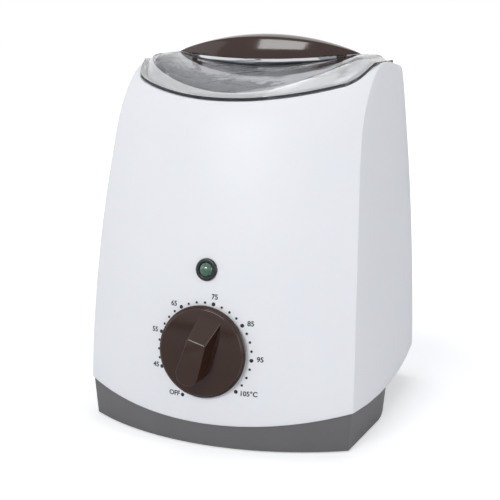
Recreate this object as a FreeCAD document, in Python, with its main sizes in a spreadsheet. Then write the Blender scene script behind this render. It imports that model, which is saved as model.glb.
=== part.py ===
"""Table-top wax heater with a lift-off clear lid, a heated aluminium well and a thermostat dial.

Millimetres, +Z up, front towards -Y. The origin is the middle of the whole object in plan, on
the surface that the rubber feet stand on.
"""
import FreeCAD, Part
import Sketcher
import math
import os

DRIVING_DIMENSIONS = (
    # outer form of the shell
    ("body_height", 215.9), ("form_foot", 2.0), ("form_ceiling", 240.0), ("shell_wall", 3.0),
    ("front_reach", 82.3), ("front_plan_radius", 173.0), ("front_lean_foot", 1.14),
    ("front_lean_shoulder", 16.7), ("front_lean_brow", 45.5), ("front_shoulder_radius", 77.1),
    ("front_brow_radius", 28.75),
    ("rear_reach", 94.12), ("rear_plan_radius", 302.0), ("rear_lean_foot", -0.79),
    ("rear_lean_shoulder", 2.41), ("rear_lean_brow", 26.0), ("rear_lean_top", 82.9),
    ("rear_shoulder_radius", 141.0), ("rear_brow_radius", 12.7), ("rear_top_run", 30.0),
    ("side_reach", 87.1), ("side_bow_y", 10.3), ("side_plan_radius", 850.0), ("side_lean_foot", 0.232),
    ("side_lean_waist", 4.96), ("side_lean_top", 0.7), ("side_upper_radius", 849.5),
    # bowl-shaped joint line between shell and plinth
    ("joint_low", 4.1), ("joint_radius_across", 259.0), ("joint_radius_along", 477.6),
    ("joint_centre_y", 15.3), ("joint_gap", 0.25), ("form_margin", 120.0),
    # trough in the top that the lid lies in
    ("trough_depth", 20.9), ("trough_sweep", 15.0), ("trough_corner", 15.0), ("trough_slope", 60.0),
    ("shoulder_width", 1.4),
    # deck and well
    ("deck_level", 190.0), ("deck_thickness", 2.5), ("well_centre_y", 17.8), ("well_radius", 51.5),
    ("well_depth", 98.0), ("pot_wall", 1.2), ("pot_flange", 4.5), ("pot_clearance", 0.5),
    ("pot_corner", 6.0),
    # plinth
    ("plinth_clearance", 0.8), ("plinth_wall", 4.0), ("plinth_floor", 2.5),
    ("plinth_corner_set", 5.8), ("plinth_corner_y", 58.6), ("plinth_front_set", 0.7),
    ("plinth_waist_set", 2.1), ("plinth_rear_centre", 7.7), ("plinth_flare", 2.3),
    ("plinth_corner_flare", 0.8), ("plinth_top", 24.0), ("plinth_lip", 2.8),
    ("spigot_gap", 0.3), ("post_wall", 2.2),
    # feet and screws
    ("foot_radius", 6.0), ("foot_height", 2.0), ("foot_x", 58.0), ("foot_front_y", 49.7),
    ("foot_rear_x", 42.0), ("foot_rear_y", 46.3), ("foot_clearance", 0.1),
    ("boss_x", 62.0), ("boss_front_y", 17.7), ("boss_rear_x", 58.0), ("boss_rear_y", 58.3),
    ("boss_radius", 4.5), ("screw_radius", 1.5), ("screw_head_radius", 3.2),
    ("screw_head_height", 2.2), ("screw_seat", 12.6), ("screw_length", 14.0),
    ("screw_clearance", 0.2),
    # dial, knob and thermostat
    ("dial_height", 56.4), ("knob_radius", 26.7), ("knob_face_radius", 25.3),
    ("knob_rim", 1.0), ("knob_face_height", 2.9), ("knob_gap", 0.7), ("knob_wall", 1.8),
    ("grip_width", 13.6), ("grip_crest_width", 11.4), ("grip_height", 14.3), ("grip_tail", 17.7),
    ("grip_tip", 22.8), ("pointer_angle", 15.5),
    ("hub_radius", 5.6), ("spindle_radius", 3.0), ("spindle_fit", 0.05), ("spindle_depth", 9.5),
    ("spindle_tail", 16.0), ("spindle_flat", 0.8),
    ("grip_draft", 0.15), ("grip_slope_run", 14.5), ("spindle_end_gap", 0.3),
    ("spindle_flat_length", 8.0), ("knob_rim_land", 0.4),
    ("dial_recess_radius", 19.0), ("dial_recess_depth", 1.8), ("panel_pad_radius", 22.0),
    ("panel_pad_depth", 5.2), ("bushing_radius", 4.5), ("bushing_clearance", 0.3), ("bushing_set", 0.2),
    ("thermostat_width", 38.0), ("thermostat_height", 32.0), ("thermostat_depth", 24.0),
    ("thermostat_pitch", 28.0), ("thermostat_plate_thickness", 1.5),
    ("thermostat_plate_margin", 2.0), ("thermostat_head_height", 1.5),
    ("thermostat_screw_grip", 5.0), ("tapping_clearance", 0.1),
    # pilot light
    ("light_height", 102.9), ("bezel_radius", 6.5), ("bezel_thickness", 1.6),
    ("bezel_barrel", 4.9), ("bezel_fit", 0.15), ("lens_radius", 4.2), ("lens_rise", 3.2),
    ("bezel_bevel", 0.7), ("bezel_seat_gap", 0.2), ("bezel_tail", 3.0), ("lens_tail", 2.0),
    ("lamp_gap", 0.2), ("lamp_length", 20.0), ("lamp_radius", 4.5),
    # lid
    ("lid_gap", 0.3), ("lid_wall", 1.8), ("lid_flange", 2.0), ("lid_ledge", 2.5), ("lid_lip", 3.0),
    ("lip_clearance", 0.8),
    ("lid_front_radius", 100.0), ("lid_front_y", 43.7), ("lid_rear_y", 82.1),
    ("lid_rear_radius", 280.0), ("lid_side_x", 75.6), ("lid_rear_corner", 36.0),
    ("lid_front_corner", 45.0), ("lid_crest", 217.2), ("lid_mid_level", 213.5),
    ("lid_saddle_radius", 277.5), ("lid_arch_radius", 127.0), ("lid_arch_y", 19.7),
    ("lid_crown_level", 227.3), ("lid_crown_radius", 287.0),
    ("platform_level", 217.0), ("platform_radius", 549.0), ("platform_margin", 3.0),
    # handle
    ("handle_half_length", 61.0), ("handle_half_depth", 13.0), ("handle_y", 22.3),
    ("handle_top", 231.8), ("handle_arch_radius", 165.0), ("handle_cross_radius", 34.0),
    ("handle_wall", 2.2), ("handle_seat_gap", 0.1), ("peg_x", 48.0), ("peg_radius", 3.2),
    ("peg_foot", 209.5), ("peg_clearance", 0.2), ("peg_screw_radius", 1.2),
    ("peg_screw_head", 2.8), ("peg_screw_head_height", 1.6), ("peg_screw_length", 7.0),
    ("peg_screw_gap", 0.05), ("peg_top_gap", 0.5),
    # heater and its fixings
    ("heater_gap", 0.2), ("heater_thickness", 1.6), ("heater_height", 46.0),
    ("heater_above_floor", 10.0), ("heater_slot", 14.0), ("ear_reach", 7.0),
    ("ear_root", 0.6), ("clamp_overhang", 1.0), ("sleeve_window_gap", 3.0),
    ("blanket_gap", 0.3), ("blanket_thickness", 3.5), ("blanket_margin", 8.0),
    ("strap_width", 16.0), ("strap_thickness", 1.5), ("strap_drop", 7.0), ("strap_reach", 67.0),
    ("stud_radius", 2.0), ("stud_length", 13.0), ("nut_radius", 4.0), ("nut_height", 3.2),
    ("bulb_radius", 3.0), ("bulb_length", 56.0), ("bulb_y", 38.3), ("clip_thickness", 0.8),
    ("clip_width", 10.0), ("clip_foot", 6.0), ("clip_fit", 0.1),
    ("cutout_radius", 8.0), ("cutout_height", 7.0), ("cutout_y", 22.0),
    ("cutout_flange_reach", 12.8), ("cutout_flange_width", 8.0), ("cutout_flange_thickness", 0.8),
    ("cutout_tab_pitch", 8.0), ("cutout_tab_thickness", 0.8), ("cutout_tab_width", 6.0),
    ("cutout_tab_length", 6.0),
    # wiring
    ("gland_height", 34.0), ("gland_bore", 3.6), ("gland_neck", 5.9), ("gland_flange", 7.6),
    ("gland_lip", 1.14), ("gland_fit", 0.2), ("gland_wall_gap", 0.7), ("gland_seat", 0.4),
    ("gland_bevel", 0.8),
    ("terminal_length", 30.0), ("terminal_width", 16.0), ("terminal_height", 13.0),
    ("terminal_x", 30.0), ("terminal_y", 32.3), ("terminal_post", 2.0),
    ("terminal_foot_inset", 3.5), ("wire_way_radius", 2.2), ("wire_way_height", 5.0),
    ("screw_way_radius", 2.6), ("screw_way_depth", 4.0), ("terminal_screw_radius", 2.3),
    ("terminal_screw_height", 2.4),
    # common to all pieces
    ("seat_gap", 0.1), ("overshoot", 1.0), ("deep_overshoot", 20.0),
)


class Size:
    """A number together with the sheet formula that gives it."""

    def __init__(self, value, text):
        self.value = float(value)
        self.text = text

    def __add__(self, other):
        other = as_size(other)
        return Size(self.value + other.value, "(%s + %s)" % (self.text, other.text))

    def __sub__(self, other):
        other = as_size(other)
        return Size(self.value - other.value, "(%s - %s)" % (self.text, other.text))

    def __mul__(self, other):
        other = as_size(other)
        return Size(self.value * other.value, "(%s * %s)" % (self.text, other.text))

    def __truediv__(self, other):
        other = as_size(other)
        return Size(self.value / other.value, "(%s / %s)" % (self.text, other.text))

    def __neg__(self):
        return Size(-self.value, "(0 - %s)" % self.text)

    __radd__ = __add__
    __rmul__ = __mul__

    def __rsub__(self, other):
        return as_size(other) - self


def as_size(number):
    """Wrap a plain number, so that it can stand beside sizes of the sheet."""
    return number if isinstance(number, Size) else Size(number, repr(float(number)))


def sine(angle):
    return Size(math.sin(math.radians(angle.value)), "sin(%s)" % angle.text)


def cosine(angle):
    return Size(math.cos(math.radians(angle.value)), "cos(%s)" % angle.text)


def root(size):
    return Size(math.sqrt(size.value), "sqrt(%s)" % size.text)


class Sheet:
    """The driving dimensions, each cell read as an attribute."""

    def __init__(self, document):
        self.cells = document.addObject("Spreadsheet::Sheet", "Sizes")
        self.cells.Label = "driving dimensions"
        for row, (alias, value) in enumerate(DRIVING_DIMENSIONS, 1):
            self.cells.set("A%d" % row, str(value))
            self.cells.setAlias("A%d" % row, alias)
            setattr(self, alias, Size(value, "Sizes.%s" % alias))


doc = FreeCAD.newDocument("wax_heater")
size = Sheet(doc)
doc.recompute()
ZERO = as_size(0)


# ---------------------------------------------------------------- drawing helpers

def bind(item, path, value):
    """Tie one property of an object to the sheet."""
    item.setExpression(path, as_size(value).text)


def place(item, x=0, y=0, z=0):
    """Put an object at x, y, z, all three tied to the sheet."""
    for axis, value in (("x", x), ("y", y), ("z", z)):
        bind(item, "Placement.Base." + axis, value)


def origin_plane(body, role):
    return [item for item in body.Origin.OriginFeatures if item.Role == role][0]


def new_body(label):
    body = doc.addObject("PartDesign::Body", "Body")
    body.Label = label
    return body


def bulged_middle(start, end, radius):
    """Middle of an arc from start to end; a positive radius bulges to the right of travel."""
    chord = end - start
    sagitta = abs(radius) - math.sqrt(max(radius * radius - chord.Length ** 2 / 4, 0))
    side = FreeCAD.Vector(chord.y, -chord.x, 0).normalize()
    return (start + end) / 2 + side * math.copysign(sagitta, radius)


def outline(body, plane, corners, arcs=None):
    """Sketch a closed outline whose corners, and the radii of its round sides, follow the sheet."""
    arcs = arcs or {}
    sketch = body.newObject("Sketcher::SketchObject", "Outline")
    sketch.Label = body.Label + " outline"
    sketch.AttachmentSupport = [(origin_plane(body, plane), "")]
    sketch.MapMode = "FlatFace"
    points = [FreeCAD.Vector(x.value, y.value, 0) for x, y in corners]
    ends = []
    for index, start in enumerate(points):
        end = points[(index + 1) % len(points)]
        if index not in arcs:
            sketch.addGeometry(Part.LineSegment(start, end))
            ends.append((1, 2))
            continue
        middle = bulged_middle(start, end, arcs[index].value)
        sketch.addGeometry(Part.Arc(start, middle, end))
        forward = sketch.getPoint(index, 1).distanceToPoint(start) < 1e-6
        ends.append((1, 2) if forward else (2, 1))
    for index, (x, y) in enumerate(corners):
        first = ends[index][0]
        before = (index - 1) % len(corners)
        sketch.addConstraint(Sketcher.Constraint("Coincident", before, ends[before][1], index, first))
        for kind, value in (("DistanceX", x), ("DistanceY", y)):
            number = sketch.addConstraint(Sketcher.Constraint(kind, -1, 1, index, first, value.value))
            sketch.setExpression("Constraints[%d]" % number, value.text)
    for index, radius in arcs.items():
        length = abs(radius.value)
        number = sketch.addConstraint(Sketcher.Constraint("Radius", index, length))
        sketch.setExpression("Constraints[%d]" % number, "abs(%s)" % radius.text)
    return sketch


def turned(label, plane, axis, corners, arcs=None, angle=360):
    """Turn an outline about an axis of its own sketch."""
    body = new_body(label)
    sketch = outline(body, plane, corners, arcs)
    turn = body.newObject("PartDesign::Revolution", "Turn")
    turn.Profile = sketch
    turn.ReferenceAxis = (sketch, [axis])
    turn.Angle = angle
    turn.Midplane = angle < 360
    return body


def padded(label, plane, corners, arcs, length, both_ways=False):
    """Pad an outline square to its plane."""
    body = new_body(label)
    pad = body.newObject("PartDesign::Pad", "Pad")
    pad.Profile = outline(body, plane, corners, arcs)
    bind(pad, "Length", length)
    pad.Midplane = both_ways
    return body


def cylinder(label, radius, height, x=0, y=0, z=0):
    item = doc.addObject("Part::Cylinder", "Cylinder")
    item.Label = label
    bind(item, "Radius", radius)
    bind(item, "Height", height)
    place(item, x, y, z)
    return item


def box(label, low, high):
    """A box from its low corner to its high corner."""
    item = doc.addObject("Part::Box", "Box")
    item.Label = label
    for path, start, end in zip(("Length", "Width", "Height"), low, high):
        bind(item, path, as_size(end) - start)
    place(item, *low)
    return item


def combine(kind, label, shapes):
    item = doc.addObject(kind, "Joined")
    item.Label = label
    item.Shapes = shapes
    return item


def common(label, *shapes):
    return combine("Part::MultiCommon", label, list(shapes))


def fuse(label, *shapes):
    return combine("Part::MultiFuse", label, list(shapes))


def cut(label, base, *tools):
    """Cut one or more tools out of a base."""
    item = doc.addObject("Part::Cut", "Cut")
    item.Label = label
    item.Base = base
    item.Tool = tools[0] if len(tools) == 1 else fuse(label + " cutters", *tools)
    return item


def group(label, *shapes):
    """Several separate solids that share one node."""
    item = doc.addObject("Part::Compound", "Group")
    item.Label = label
    item.Links = list(shapes)
    return item


# ---------------------------------------------------------------- outer form

def follow(start, lean, arcs):
    """Corners of a chain of tangent arcs; each arc is (radius, lean at its end)."""
    across, up = start
    corners = [start]
    for radius, end_lean in arcs:
        across = across - radius * (cosine(lean) - cosine(end_lean))
        up = up + radius * (sine(end_lean) - sine(lean))
        corners.append((across, up))
        lean = end_lean
    return corners


def front_bow_radius():
    """Radius of the long front bow, from the height that the other arcs leave."""
    low, shoulder, brow = (sine(size.front_lean_foot), sine(size.front_lean_shoulder),
                           sine(size.front_lean_brow))
    left = (size.body_height - size.form_foot - size.front_shoulder_radius * (brow - shoulder)
            - size.front_brow_radius * (1 - brow))
    return left / (shoulder - low)


def rear_bow_radius():
    low, shoulder, brow, top = (sine(size.rear_lean_foot), sine(size.rear_lean_shoulder),
                                sine(size.rear_lean_brow), sine(size.rear_lean_top))
    rise = size.rear_top_run * cosine(size.rear_lean_top) / sine(size.rear_lean_top)
    left = (size.body_height - size.form_foot - rise - size.rear_shoulder_radius * (brow - shoulder)
            - size.rear_brow_radius * (top - brow))
    return left / (shoulder - low)


def side_bow_radius():
    low, waist, top = (sine(size.side_lean_foot), sine(size.side_lean_waist),
                       sine(size.side_lean_top))
    left = size.body_height - size.form_foot - size.side_upper_radius * (waist - top)
    return left / (waist - low)


def inset_start(reach, lean, inset):
    """Foot of a profile moved inwards, square to the surface."""
    return (reach - inset * cosine(lean), size.form_foot - inset * sine(lean))


def close_profile(corners, arcs, ceiling):
    """Close a chain to its turning axis, down at the foot and up at the ceiling."""
    return corners + [(ZERO, ceiling), (ZERO, corners[0][1])], arcs


def front_form(label, inset, open_top):
    """Front skin: a leaning bow turned about an upright axis behind it."""
    lean = size.front_lean_foot
    radii = [front_bow_radius() - inset, size.front_shoulder_radius - inset,
             size.front_brow_radius - inset]
    chain = follow(inset_start(size.front_plan_radius, lean, inset), lean,
                   [(radii[0], size.front_lean_shoulder), (radii[1], size.front_lean_brow),
                    (radii[2], as_size(90))])
    ceiling = chain[-1][1]
    if open_top:
        ceiling = size.form_ceiling
        chain.append((chain[-1][0], ceiling))
    body = turned(label, "XZ_Plane", "V_Axis", *close_profile(chain, dict(enumerate(radii)), ceiling))
    place(body, 0, size.front_plan_radius - size.front_reach, 0)
    return body


def rear_form(label, inset, open_top):
    """Rear skin: nearly upright, rounded over at the top into a gentle slope."""
    lean = size.rear_lean_foot
    radii = [rear_bow_radius() - inset, size.rear_shoulder_radius - inset,
             size.rear_brow_radius - inset]
    chain = follow(inset_start(size.rear_plan_radius, lean, inset), lean,
                   [(radii[0], size.rear_lean_shoulder), (radii[1], size.rear_lean_brow),
                    (radii[2], size.rear_lean_top)])
    run = chain[-1][0]
    rise = run * cosine(size.rear_lean_top) / sine(size.rear_lean_top)
    if open_top:
        chain.append((run, size.form_ceiling))
        ceiling = size.form_ceiling
    else:
        ceiling = chain[-1][1] + rise
    body = turned(label, "XZ_Plane", "V_Axis", *close_profile(chain, dict(enumerate(radii)), ceiling))
    place(body, 0, size.rear_reach - size.rear_plan_radius, 0)
    return body


def side_form(label, inset, side):
    """Side skin: bowed in plan, swelling below the waist and hollow above it."""
    lean = size.side_lean_foot
    radii = [side_bow_radius() - inset, size.side_upper_radius + inset]
    start = inset_start(size.side_plan_radius, lean, inset)
    chain = follow(start, lean, [(radii[0], size.side_lean_waist)])
    waist_across, waist_up = chain[-1]
    chain.append((waist_across - radii[1] * (cosine(size.side_lean_top) - cosine(size.side_lean_waist)),
                  waist_up + radii[1] * (sine(size.side_lean_waist) - sine(size.side_lean_top))))
    chain.append((chain[-1][0], size.form_ceiling))
    arcs = {0: radii[0], 1: -radii[1]}
    body = turned(label, "YZ_Plane", "V_Axis", *close_profile(chain, arcs, size.form_ceiling))
    place(body, (size.side_reach - size.side_plan_radius) * side, size.side_bow_y, 0)
    return body


def outer_form(label, inset=ZERO, open_top=False):
    """The closed form of the whole shell, moved inwards by inset."""
    return common(label,
                  front_form(label + " front", inset, open_top),
                  rear_form(label + " rear", inset, open_top),
                  side_form(label + " right", inset, 1),
                  side_form(label + " left", inset, -1))


def below_joint(label, lift):
    """Everything under the bowl-shaped joint line, raised by lift."""
    axis_height = size.joint_low + size.joint_radius_along
    half = size.form_margin
    sag = size.joint_radius_across - root(size.joint_radius_across * size.joint_radius_across
                                          - half * half)
    rim = size.joint_low + sag + lift - axis_height
    bottom = -axis_height - size.deep_overshoot
    body = turned(label, "XZ_Plane", "H_Axis",
                  [(-half, rim), (half, rim), (half, bottom), (-half, bottom)],
                  {0: size.joint_radius_across - lift}, angle=36)
    place(body, 0, size.joint_centre_y, axis_height)
    return body


def trough_arc_radius():
    """Radius of the trough's floor, from the width between the two shoulders."""
    sweep, slope = size.trough_sweep, size.trough_slope
    fall = cosine(slope) / sine(slope)
    reach = top_half_width() - size.shoulder_width
    corner_rise = size.trough_corner * (cosine(sweep) - cosine(slope))
    corner_run = size.trough_corner * (sine(slope) - sine(sweep))
    left = reach - corner_run - (size.trough_depth - corner_rise) * fall
    return left / (sine(sweep) - (1 - cosine(sweep)) * fall)


def top_half_width():
    low, waist, top = (cosine(size.side_lean_foot), cosine(size.side_lean_waist),
                       cosine(size.side_lean_top))
    return (size.side_reach - side_bow_radius() * (low - waist)
            - size.side_upper_radius * (top - waist))


def trough_side(lift, ceiling):
    """Right half of the trough's section, raised square to itself by lift."""
    sweep, slope = size.trough_sweep, size.trough_slope
    floor = trough_arc_radius() - lift
    corner = size.trough_corner - lift
    low = size.body_height - size.trough_depth + lift
    bend = (floor * sine(sweep), low + floor * (1 - cosine(sweep)))
    wall = (bend[0] + corner * (sine(slope) - sine(sweep)),
            bend[1] + corner * (cosine(sweep) - cosine(slope)))
    top = (wall[0] + (ceiling - wall[1]) * cosine(slope) / sine(slope), ceiling)
    return (ZERO, low), bend, wall, top


def above_trough(label, lift, ceiling):
    """Everything over the trough's surface, raised by lift, up to a ceiling."""
    low, bend, wall, top = trough_side(lift, ceiling)
    mirrored = [(-x, z) for x, z in (top, wall, bend)]
    floor = trough_arc_radius() - lift
    corner = size.trough_corner - lift
    return padded(label, "XZ_Plane", mirrored + [low, bend, wall, top],
                  {1: corner, 2: floor, 3: floor, 4: corner}, size.form_margin * 2, True)


# ---------------------------------------------------------------- places on the front face

def front_sine(height):
    """Sine of the front's lean at a height on its long bow."""
    return sine(size.front_lean_foot) + (height - size.form_foot) / front_bow_radius()


def on_front(item, height, out=0, across=0, up=0):
    """Stand an object square on the front face, its own Z pointing out of the face."""
    lean_sine = front_sine(height)
    lean_cosine = root(1 - lean_sine * lean_sine)
    face_y = (-size.front_reach
              + front_bow_radius() * (cosine(size.front_lean_foot) - lean_cosine))
    place(item, across, face_y - lean_cosine * out + lean_sine * up,
          height + lean_sine * out + lean_cosine * up)
    item.Placement.Rotation = FreeCAD.Rotation(FreeCAD.Vector(1, 0, 0), 90)
    item.setExpression("Placement.Rotation.Angle", "90 - asin(%s) / 1 deg" % lean_sine.text)
    return item


def front_cylinder(label, height, radius, low, high, across=0, up=0):
    """A cylinder square to the front face, from low to high measured out of the face."""
    item = cylinder(label, radius, as_size(high) - low)
    return on_front(item, height, low, across, up)


def through_front(label, height, radius, across=0):
    """A drill that goes right through the front wall."""
    return front_cylinder(label, height, radius, -size.deep_overshoot, size.overshoot, across)


# ---------------------------------------------------------------- housing

def boss_places():
    """Plan positions of the four joints between shell and plinth."""
    return [(size.boss_x * side, -size.boss_front_y) for side in (-1, 1)] + [
        (size.boss_rear_x * side, size.boss_rear_y) for side in (-1, 1)]


def strap_boss_places():
    return [(size.strap_reach * side, size.well_centre_y) for side in (-1, 1)]


def pot_floor_under():
    return size.deck_level - size.well_depth - size.pot_wall


def strap_top():
    return pot_floor_under() - size.strap_drop


def body_shell():
    """White moulded shell: bowed walls, troughed top edge, deck with the well's hole."""
    outside = cut("shell form", outer_form("outer form"), below_joint("joint cutter", ZERO),
                  above_trough("trough cutter", ZERO, size.form_ceiling))
    hollow = outer_form("inner form", size.shell_wall, True)
    deck_low = size.deck_level - size.deck_thickness
    reach = size.form_margin
    deck_slab = box("deck slab", (-reach, -reach, deck_low), (reach, reach, size.deck_level))
    cavity = cut("shell cavity", hollow, deck_slab)
    bosses = []
    drill = []
    for x, y in boss_places():
        bosses.append(cylinder("boss", size.boss_radius, deck_low + size.overshoot, x, y, ZERO))
        drill.append(cylinder("pilot hole", size.screw_radius + size.screw_clearance / 2,
                              size.screw_seat + size.screw_length + size.overshoot, x, y, ZERO))
    for x, y in strap_boss_places():
        bosses.append(cylinder("strap boss", size.boss_radius,
                               deck_low + size.overshoot - strap_top(), x, y, strap_top()))
        drill.append(cylinder("strap pilot", size.screw_radius + size.screw_clearance / 2,
                              size.screw_length, x, y, strap_top()))
    trimmed = cut("bosses", fuse("boss columns", *bosses),
                  below_joint("boss trim", size.plinth_lip + size.joint_gap))
    pad = common("panel pad",
                 front_cylinder("pad blank", size.dial_height, size.panel_pad_radius,
                                -size.panel_pad_depth, ZERO), outer_form("pad limit"))
    blank = fuse("shell blank", cut("shell walls", outside, cavity), trimmed, pad)
    holes = [
        cylinder("well hole", size.well_radius + size.pot_wall + size.pot_clearance,
                 size.deck_thickness + size.overshoot * 2, ZERO, size.well_centre_y,
                 deck_low - size.overshoot),
        front_cylinder("dial recess", size.dial_height, size.dial_recess_radius,
                       -size.dial_recess_depth, size.overshoot),
        through_front("bushing hole", size.dial_height,
                      size.bushing_radius + size.bushing_clearance),
        through_front("light hole", size.light_height, size.bezel_barrel + size.bezel_fit),
        gland_hole()]
    for side in (-1, 1):
        holes.append(through_front("thermostat screw hole", size.dial_height,
                                   size.screw_radius + size.screw_clearance,
                                   size.thermostat_pitch / 2 * side))
    return cut("body_shell", blank, *(holes + drill))


def plinth_points(inset, flare, corner_flare):
    """D-shaped plan: bowed front, short straight sides and a round back."""
    x = size.side_reach - size.plinth_corner_set - inset + corner_flare * 2
    y = -size.plinth_corner_y + inset - corner_flare
    side = size.side_reach - size.plinth_waist_set - inset + flare
    waist = -size.plinth_rear_centre
    corners = [(-x, y), (x, y), (side, waist), (-side, waist)]
    bow = size.front_reach - size.plinth_front_set - inset + y
    return corners, {0: (x * x + bow * bow) / (bow * 2), 2: side}


def half_round_outline(body, corners, arcs, height):
    """The plinth's plan, its back drawn as a half circle in two quarters."""
    left_front, right_front, right_waist, left_waist = corners
    radius = arcs[2]
    back = (ZERO, right_waist[1] + radius)
    sketch = outline(body, "XY_Plane", [left_front, right_front, right_waist, back, left_waist],
                     {0: arcs[0], 2: radius, 3: radius})
    bind(sketch, "AttachmentOffset.Base.z", height)
    return sketch


def plinth_block(label, inset, low, high):
    """The plinth's outer or inner form, flaring from its foot to its top."""
    body = new_body(label)
    span = size.plinth_top - size.plinth_clearance
    sketches = []
    for height in (low, high):
        share = (as_size(height) - size.plinth_clearance) / span
        corners, arcs = plinth_points(inset, size.plinth_flare * share,
                                      size.plinth_corner_flare * share)
        sketches.append(half_round_outline(body, corners, arcs, height))
    loft = body.newObject("PartDesign::AdditiveLoft", "Loft")
    loft.Profile = sketches[0]
    loft.Sections = [sketches[1]]
    loft.Ruled = True
    return body


def plinth_reach():
    """A height safely over the plinth's highest corner, where its cutters end."""
    return size.plinth_top + size.deep_overshoot / 2


def base_tray():
    """Grey plinth: D-shaped tray under a bowl-shaped closing flange with a locating lip."""
    wall = common("plinth wall",
                  plinth_block("plinth form", ZERO, size.plinth_clearance, plinth_reach()),
                  below_joint("plinth top", -size.joint_gap))
    flange = cut("closing flange",
                 common("flange blank",
                        outer_form("flange limit", size.shell_wall + size.spigot_gap),
                        below_joint("flange top", size.plinth_lip)),
                 below_joint("flange underside", -size.joint_gap))
    floor_top = size.plinth_clearance + size.plinth_floor
    hollow = plinth_block("plinth hollow", size.plinth_wall, floor_top, plinth_reach())
    posts = []
    cutters = []
    for x, y in boss_places():
        posts.append(cylinder("post", size.screw_head_radius + size.post_wall, size.plinth_top,
                              x, y, size.plinth_clearance))
        cutters.append(cylinder("screw hole", size.screw_radius + size.screw_clearance,
                                plinth_reach(), x, y, ZERO))
        cutters.append(cylinder("screw pocket", size.screw_head_radius + size.screw_clearance,
                                size.screw_seat + size.overshoot, x, y, -size.overshoot))
    for x, y in foot_places():
        cutters.append(cylinder("foot recess", size.foot_radius + size.foot_clearance,
                                size.foot_height + size.overshoot, x, y, -size.overshoot))
    post_limit = common("post limit", below_joint("post top", size.plinth_lip),
                        plinth_block("post reach", size.plinth_wall, size.plinth_clearance,
                                     plinth_reach()))
    tray = cut("tray", fuse("plinth blank", wall, flange), hollow)
    return cut("base_tray", fuse("plinth with posts", tray,
                                 common("posts", fuse("post columns", *posts), post_limit)),
               *cutters)


def foot_places():
    return [(size.foot_x * side, -size.foot_front_y) for side in (-1, 1)] + [
        (size.foot_rear_x * side, size.foot_rear_y) for side in (-1, 1)]


def rubber_feet():
    return group("rubber_feet", *[cylinder("foot", size.foot_radius, size.foot_height, x, y, ZERO)
                                  for x, y in foot_places()])


def screw(label, x, y, seat, head_radius, head_height, radius, length):
    """Pan-head screw pointing up, its head under a seat."""
    head = cylinder(label + " head", head_radius, head_height, x, y, seat - head_height)
    shank = cylinder(label + " shank", radius, length, x, y, seat)
    return fuse(label, head, shank)


def base_screws():
    return group("base_screws", *[
        screw("base screw", x, y, size.screw_seat, size.screw_head_radius, size.screw_head_height,
              size.screw_radius, size.screw_length) for x, y in boss_places()])


# ---------------------------------------------------------------- well, heater and fixings

def heating_pot():
    """Drawn aluminium well with a flange that lies on the deck and a stud under its floor."""
    inside = size.well_radius
    outside = inside + size.pot_wall
    corner = size.pot_corner
    top = size.deck_level + size.pot_wall
    under = pot_floor_under()
    inner_floor = under + size.pot_wall
    section = [(ZERO, under), (outside - corner - size.pot_wall, under),
               (outside, under + corner + size.pot_wall), (outside, size.deck_level),
               (inside + size.pot_flange, size.deck_level), (inside + size.pot_flange, top),
               (inside, top), (inside, inner_floor + corner), (inside - corner, inner_floor),
               (ZERO, inner_floor)]
    shell = turned("pot shell", "XZ_Plane", "V_Axis", section,
                   {1: corner + size.pot_wall, 7: -corner})
    place(shell, ZERO, size.well_centre_y, ZERO)
    stud = cylinder("pot stud", size.stud_radius, size.stud_length, ZERO, size.well_centre_y,
                    under - size.stud_length)
    return fuse("heating_pot", shell, stud)


def ring(label, inner, outer, low, high):
    """A plain ring about the well's axis."""
    body = turned(label, "XZ_Plane", "V_Axis",
                  [(inner, low), (outer, low), (outer, high), (inner, high)])
    place(body, ZERO, size.well_centre_y, ZERO)
    return body


def heater_span():
    low = pot_floor_under() + size.heater_above_floor
    return low, low + size.heater_height


def heater_band():
    """Split band heater clamped round the pot, its two ears turned outwards at the back."""
    inner = size.well_radius + size.pot_wall + size.heater_gap
    outer = inner + size.heater_thickness
    low, high = heater_span()
    half = size.heater_slot / 2
    slot = box("heater slot", (-half, size.well_centre_y, low - size.overshoot),
               (half, size.well_centre_y + outer + size.overshoot, high + size.overshoot))
    band = cut("band", ring("band blank", inner, outer, low, high), slot)
    ears = []
    hole_height = (low + high) / 2
    for side in (-1, 1):
        near, far = half * side, (half + size.heater_thickness) * side
        left, right = (near, far) if side > 0 else (far, near)
        ears.append(box("ear", (left, size.well_centre_y + inner - size.ear_root, low),
                        (right, size.well_centre_y + outer + size.ear_reach, high)))
    pierce = cylinder("ear hole", size.screw_radius + size.screw_clearance, size.heater_slot * 3,
                      -size.heater_slot * 1.5, size.well_centre_y + outer + size.ear_reach / 2,
                      hole_height)
    lay_along_x(pierce)
    return cut("heater_band", fuse("band with ears", band, *ears), pierce)


def lay_along_x(item):
    item.Placement.Rotation = FreeCAD.Rotation(FreeCAD.Vector(0, 1, 0), 90)


def clamp_screw():
    """Screw that draws the band's ears together, with its nut."""
    low, high = heater_span()
    outer = size.well_radius + size.pot_wall + size.heater_gap + size.heater_thickness
    y = size.well_centre_y + outer + size.ear_reach / 2
    z = (low + high) / 2
    reach = size.heater_slot / 2 + size.heater_thickness
    parts = []
    for label, radius, start, end in (
            ("clamp head", size.screw_head_radius, -reach - size.screw_head_height, -reach),
            ("clamp shank", size.screw_radius, -reach,
             reach + size.nut_height + size.clamp_overhang),
            ("clamp nut", size.screw_head_radius, reach, reach + size.nut_height)):
        item = cylinder(label, radius, end - start, start, y, z)
        lay_along_x(item)
        parts.append(item)
    return fuse("clamp_screw", *parts)


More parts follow.
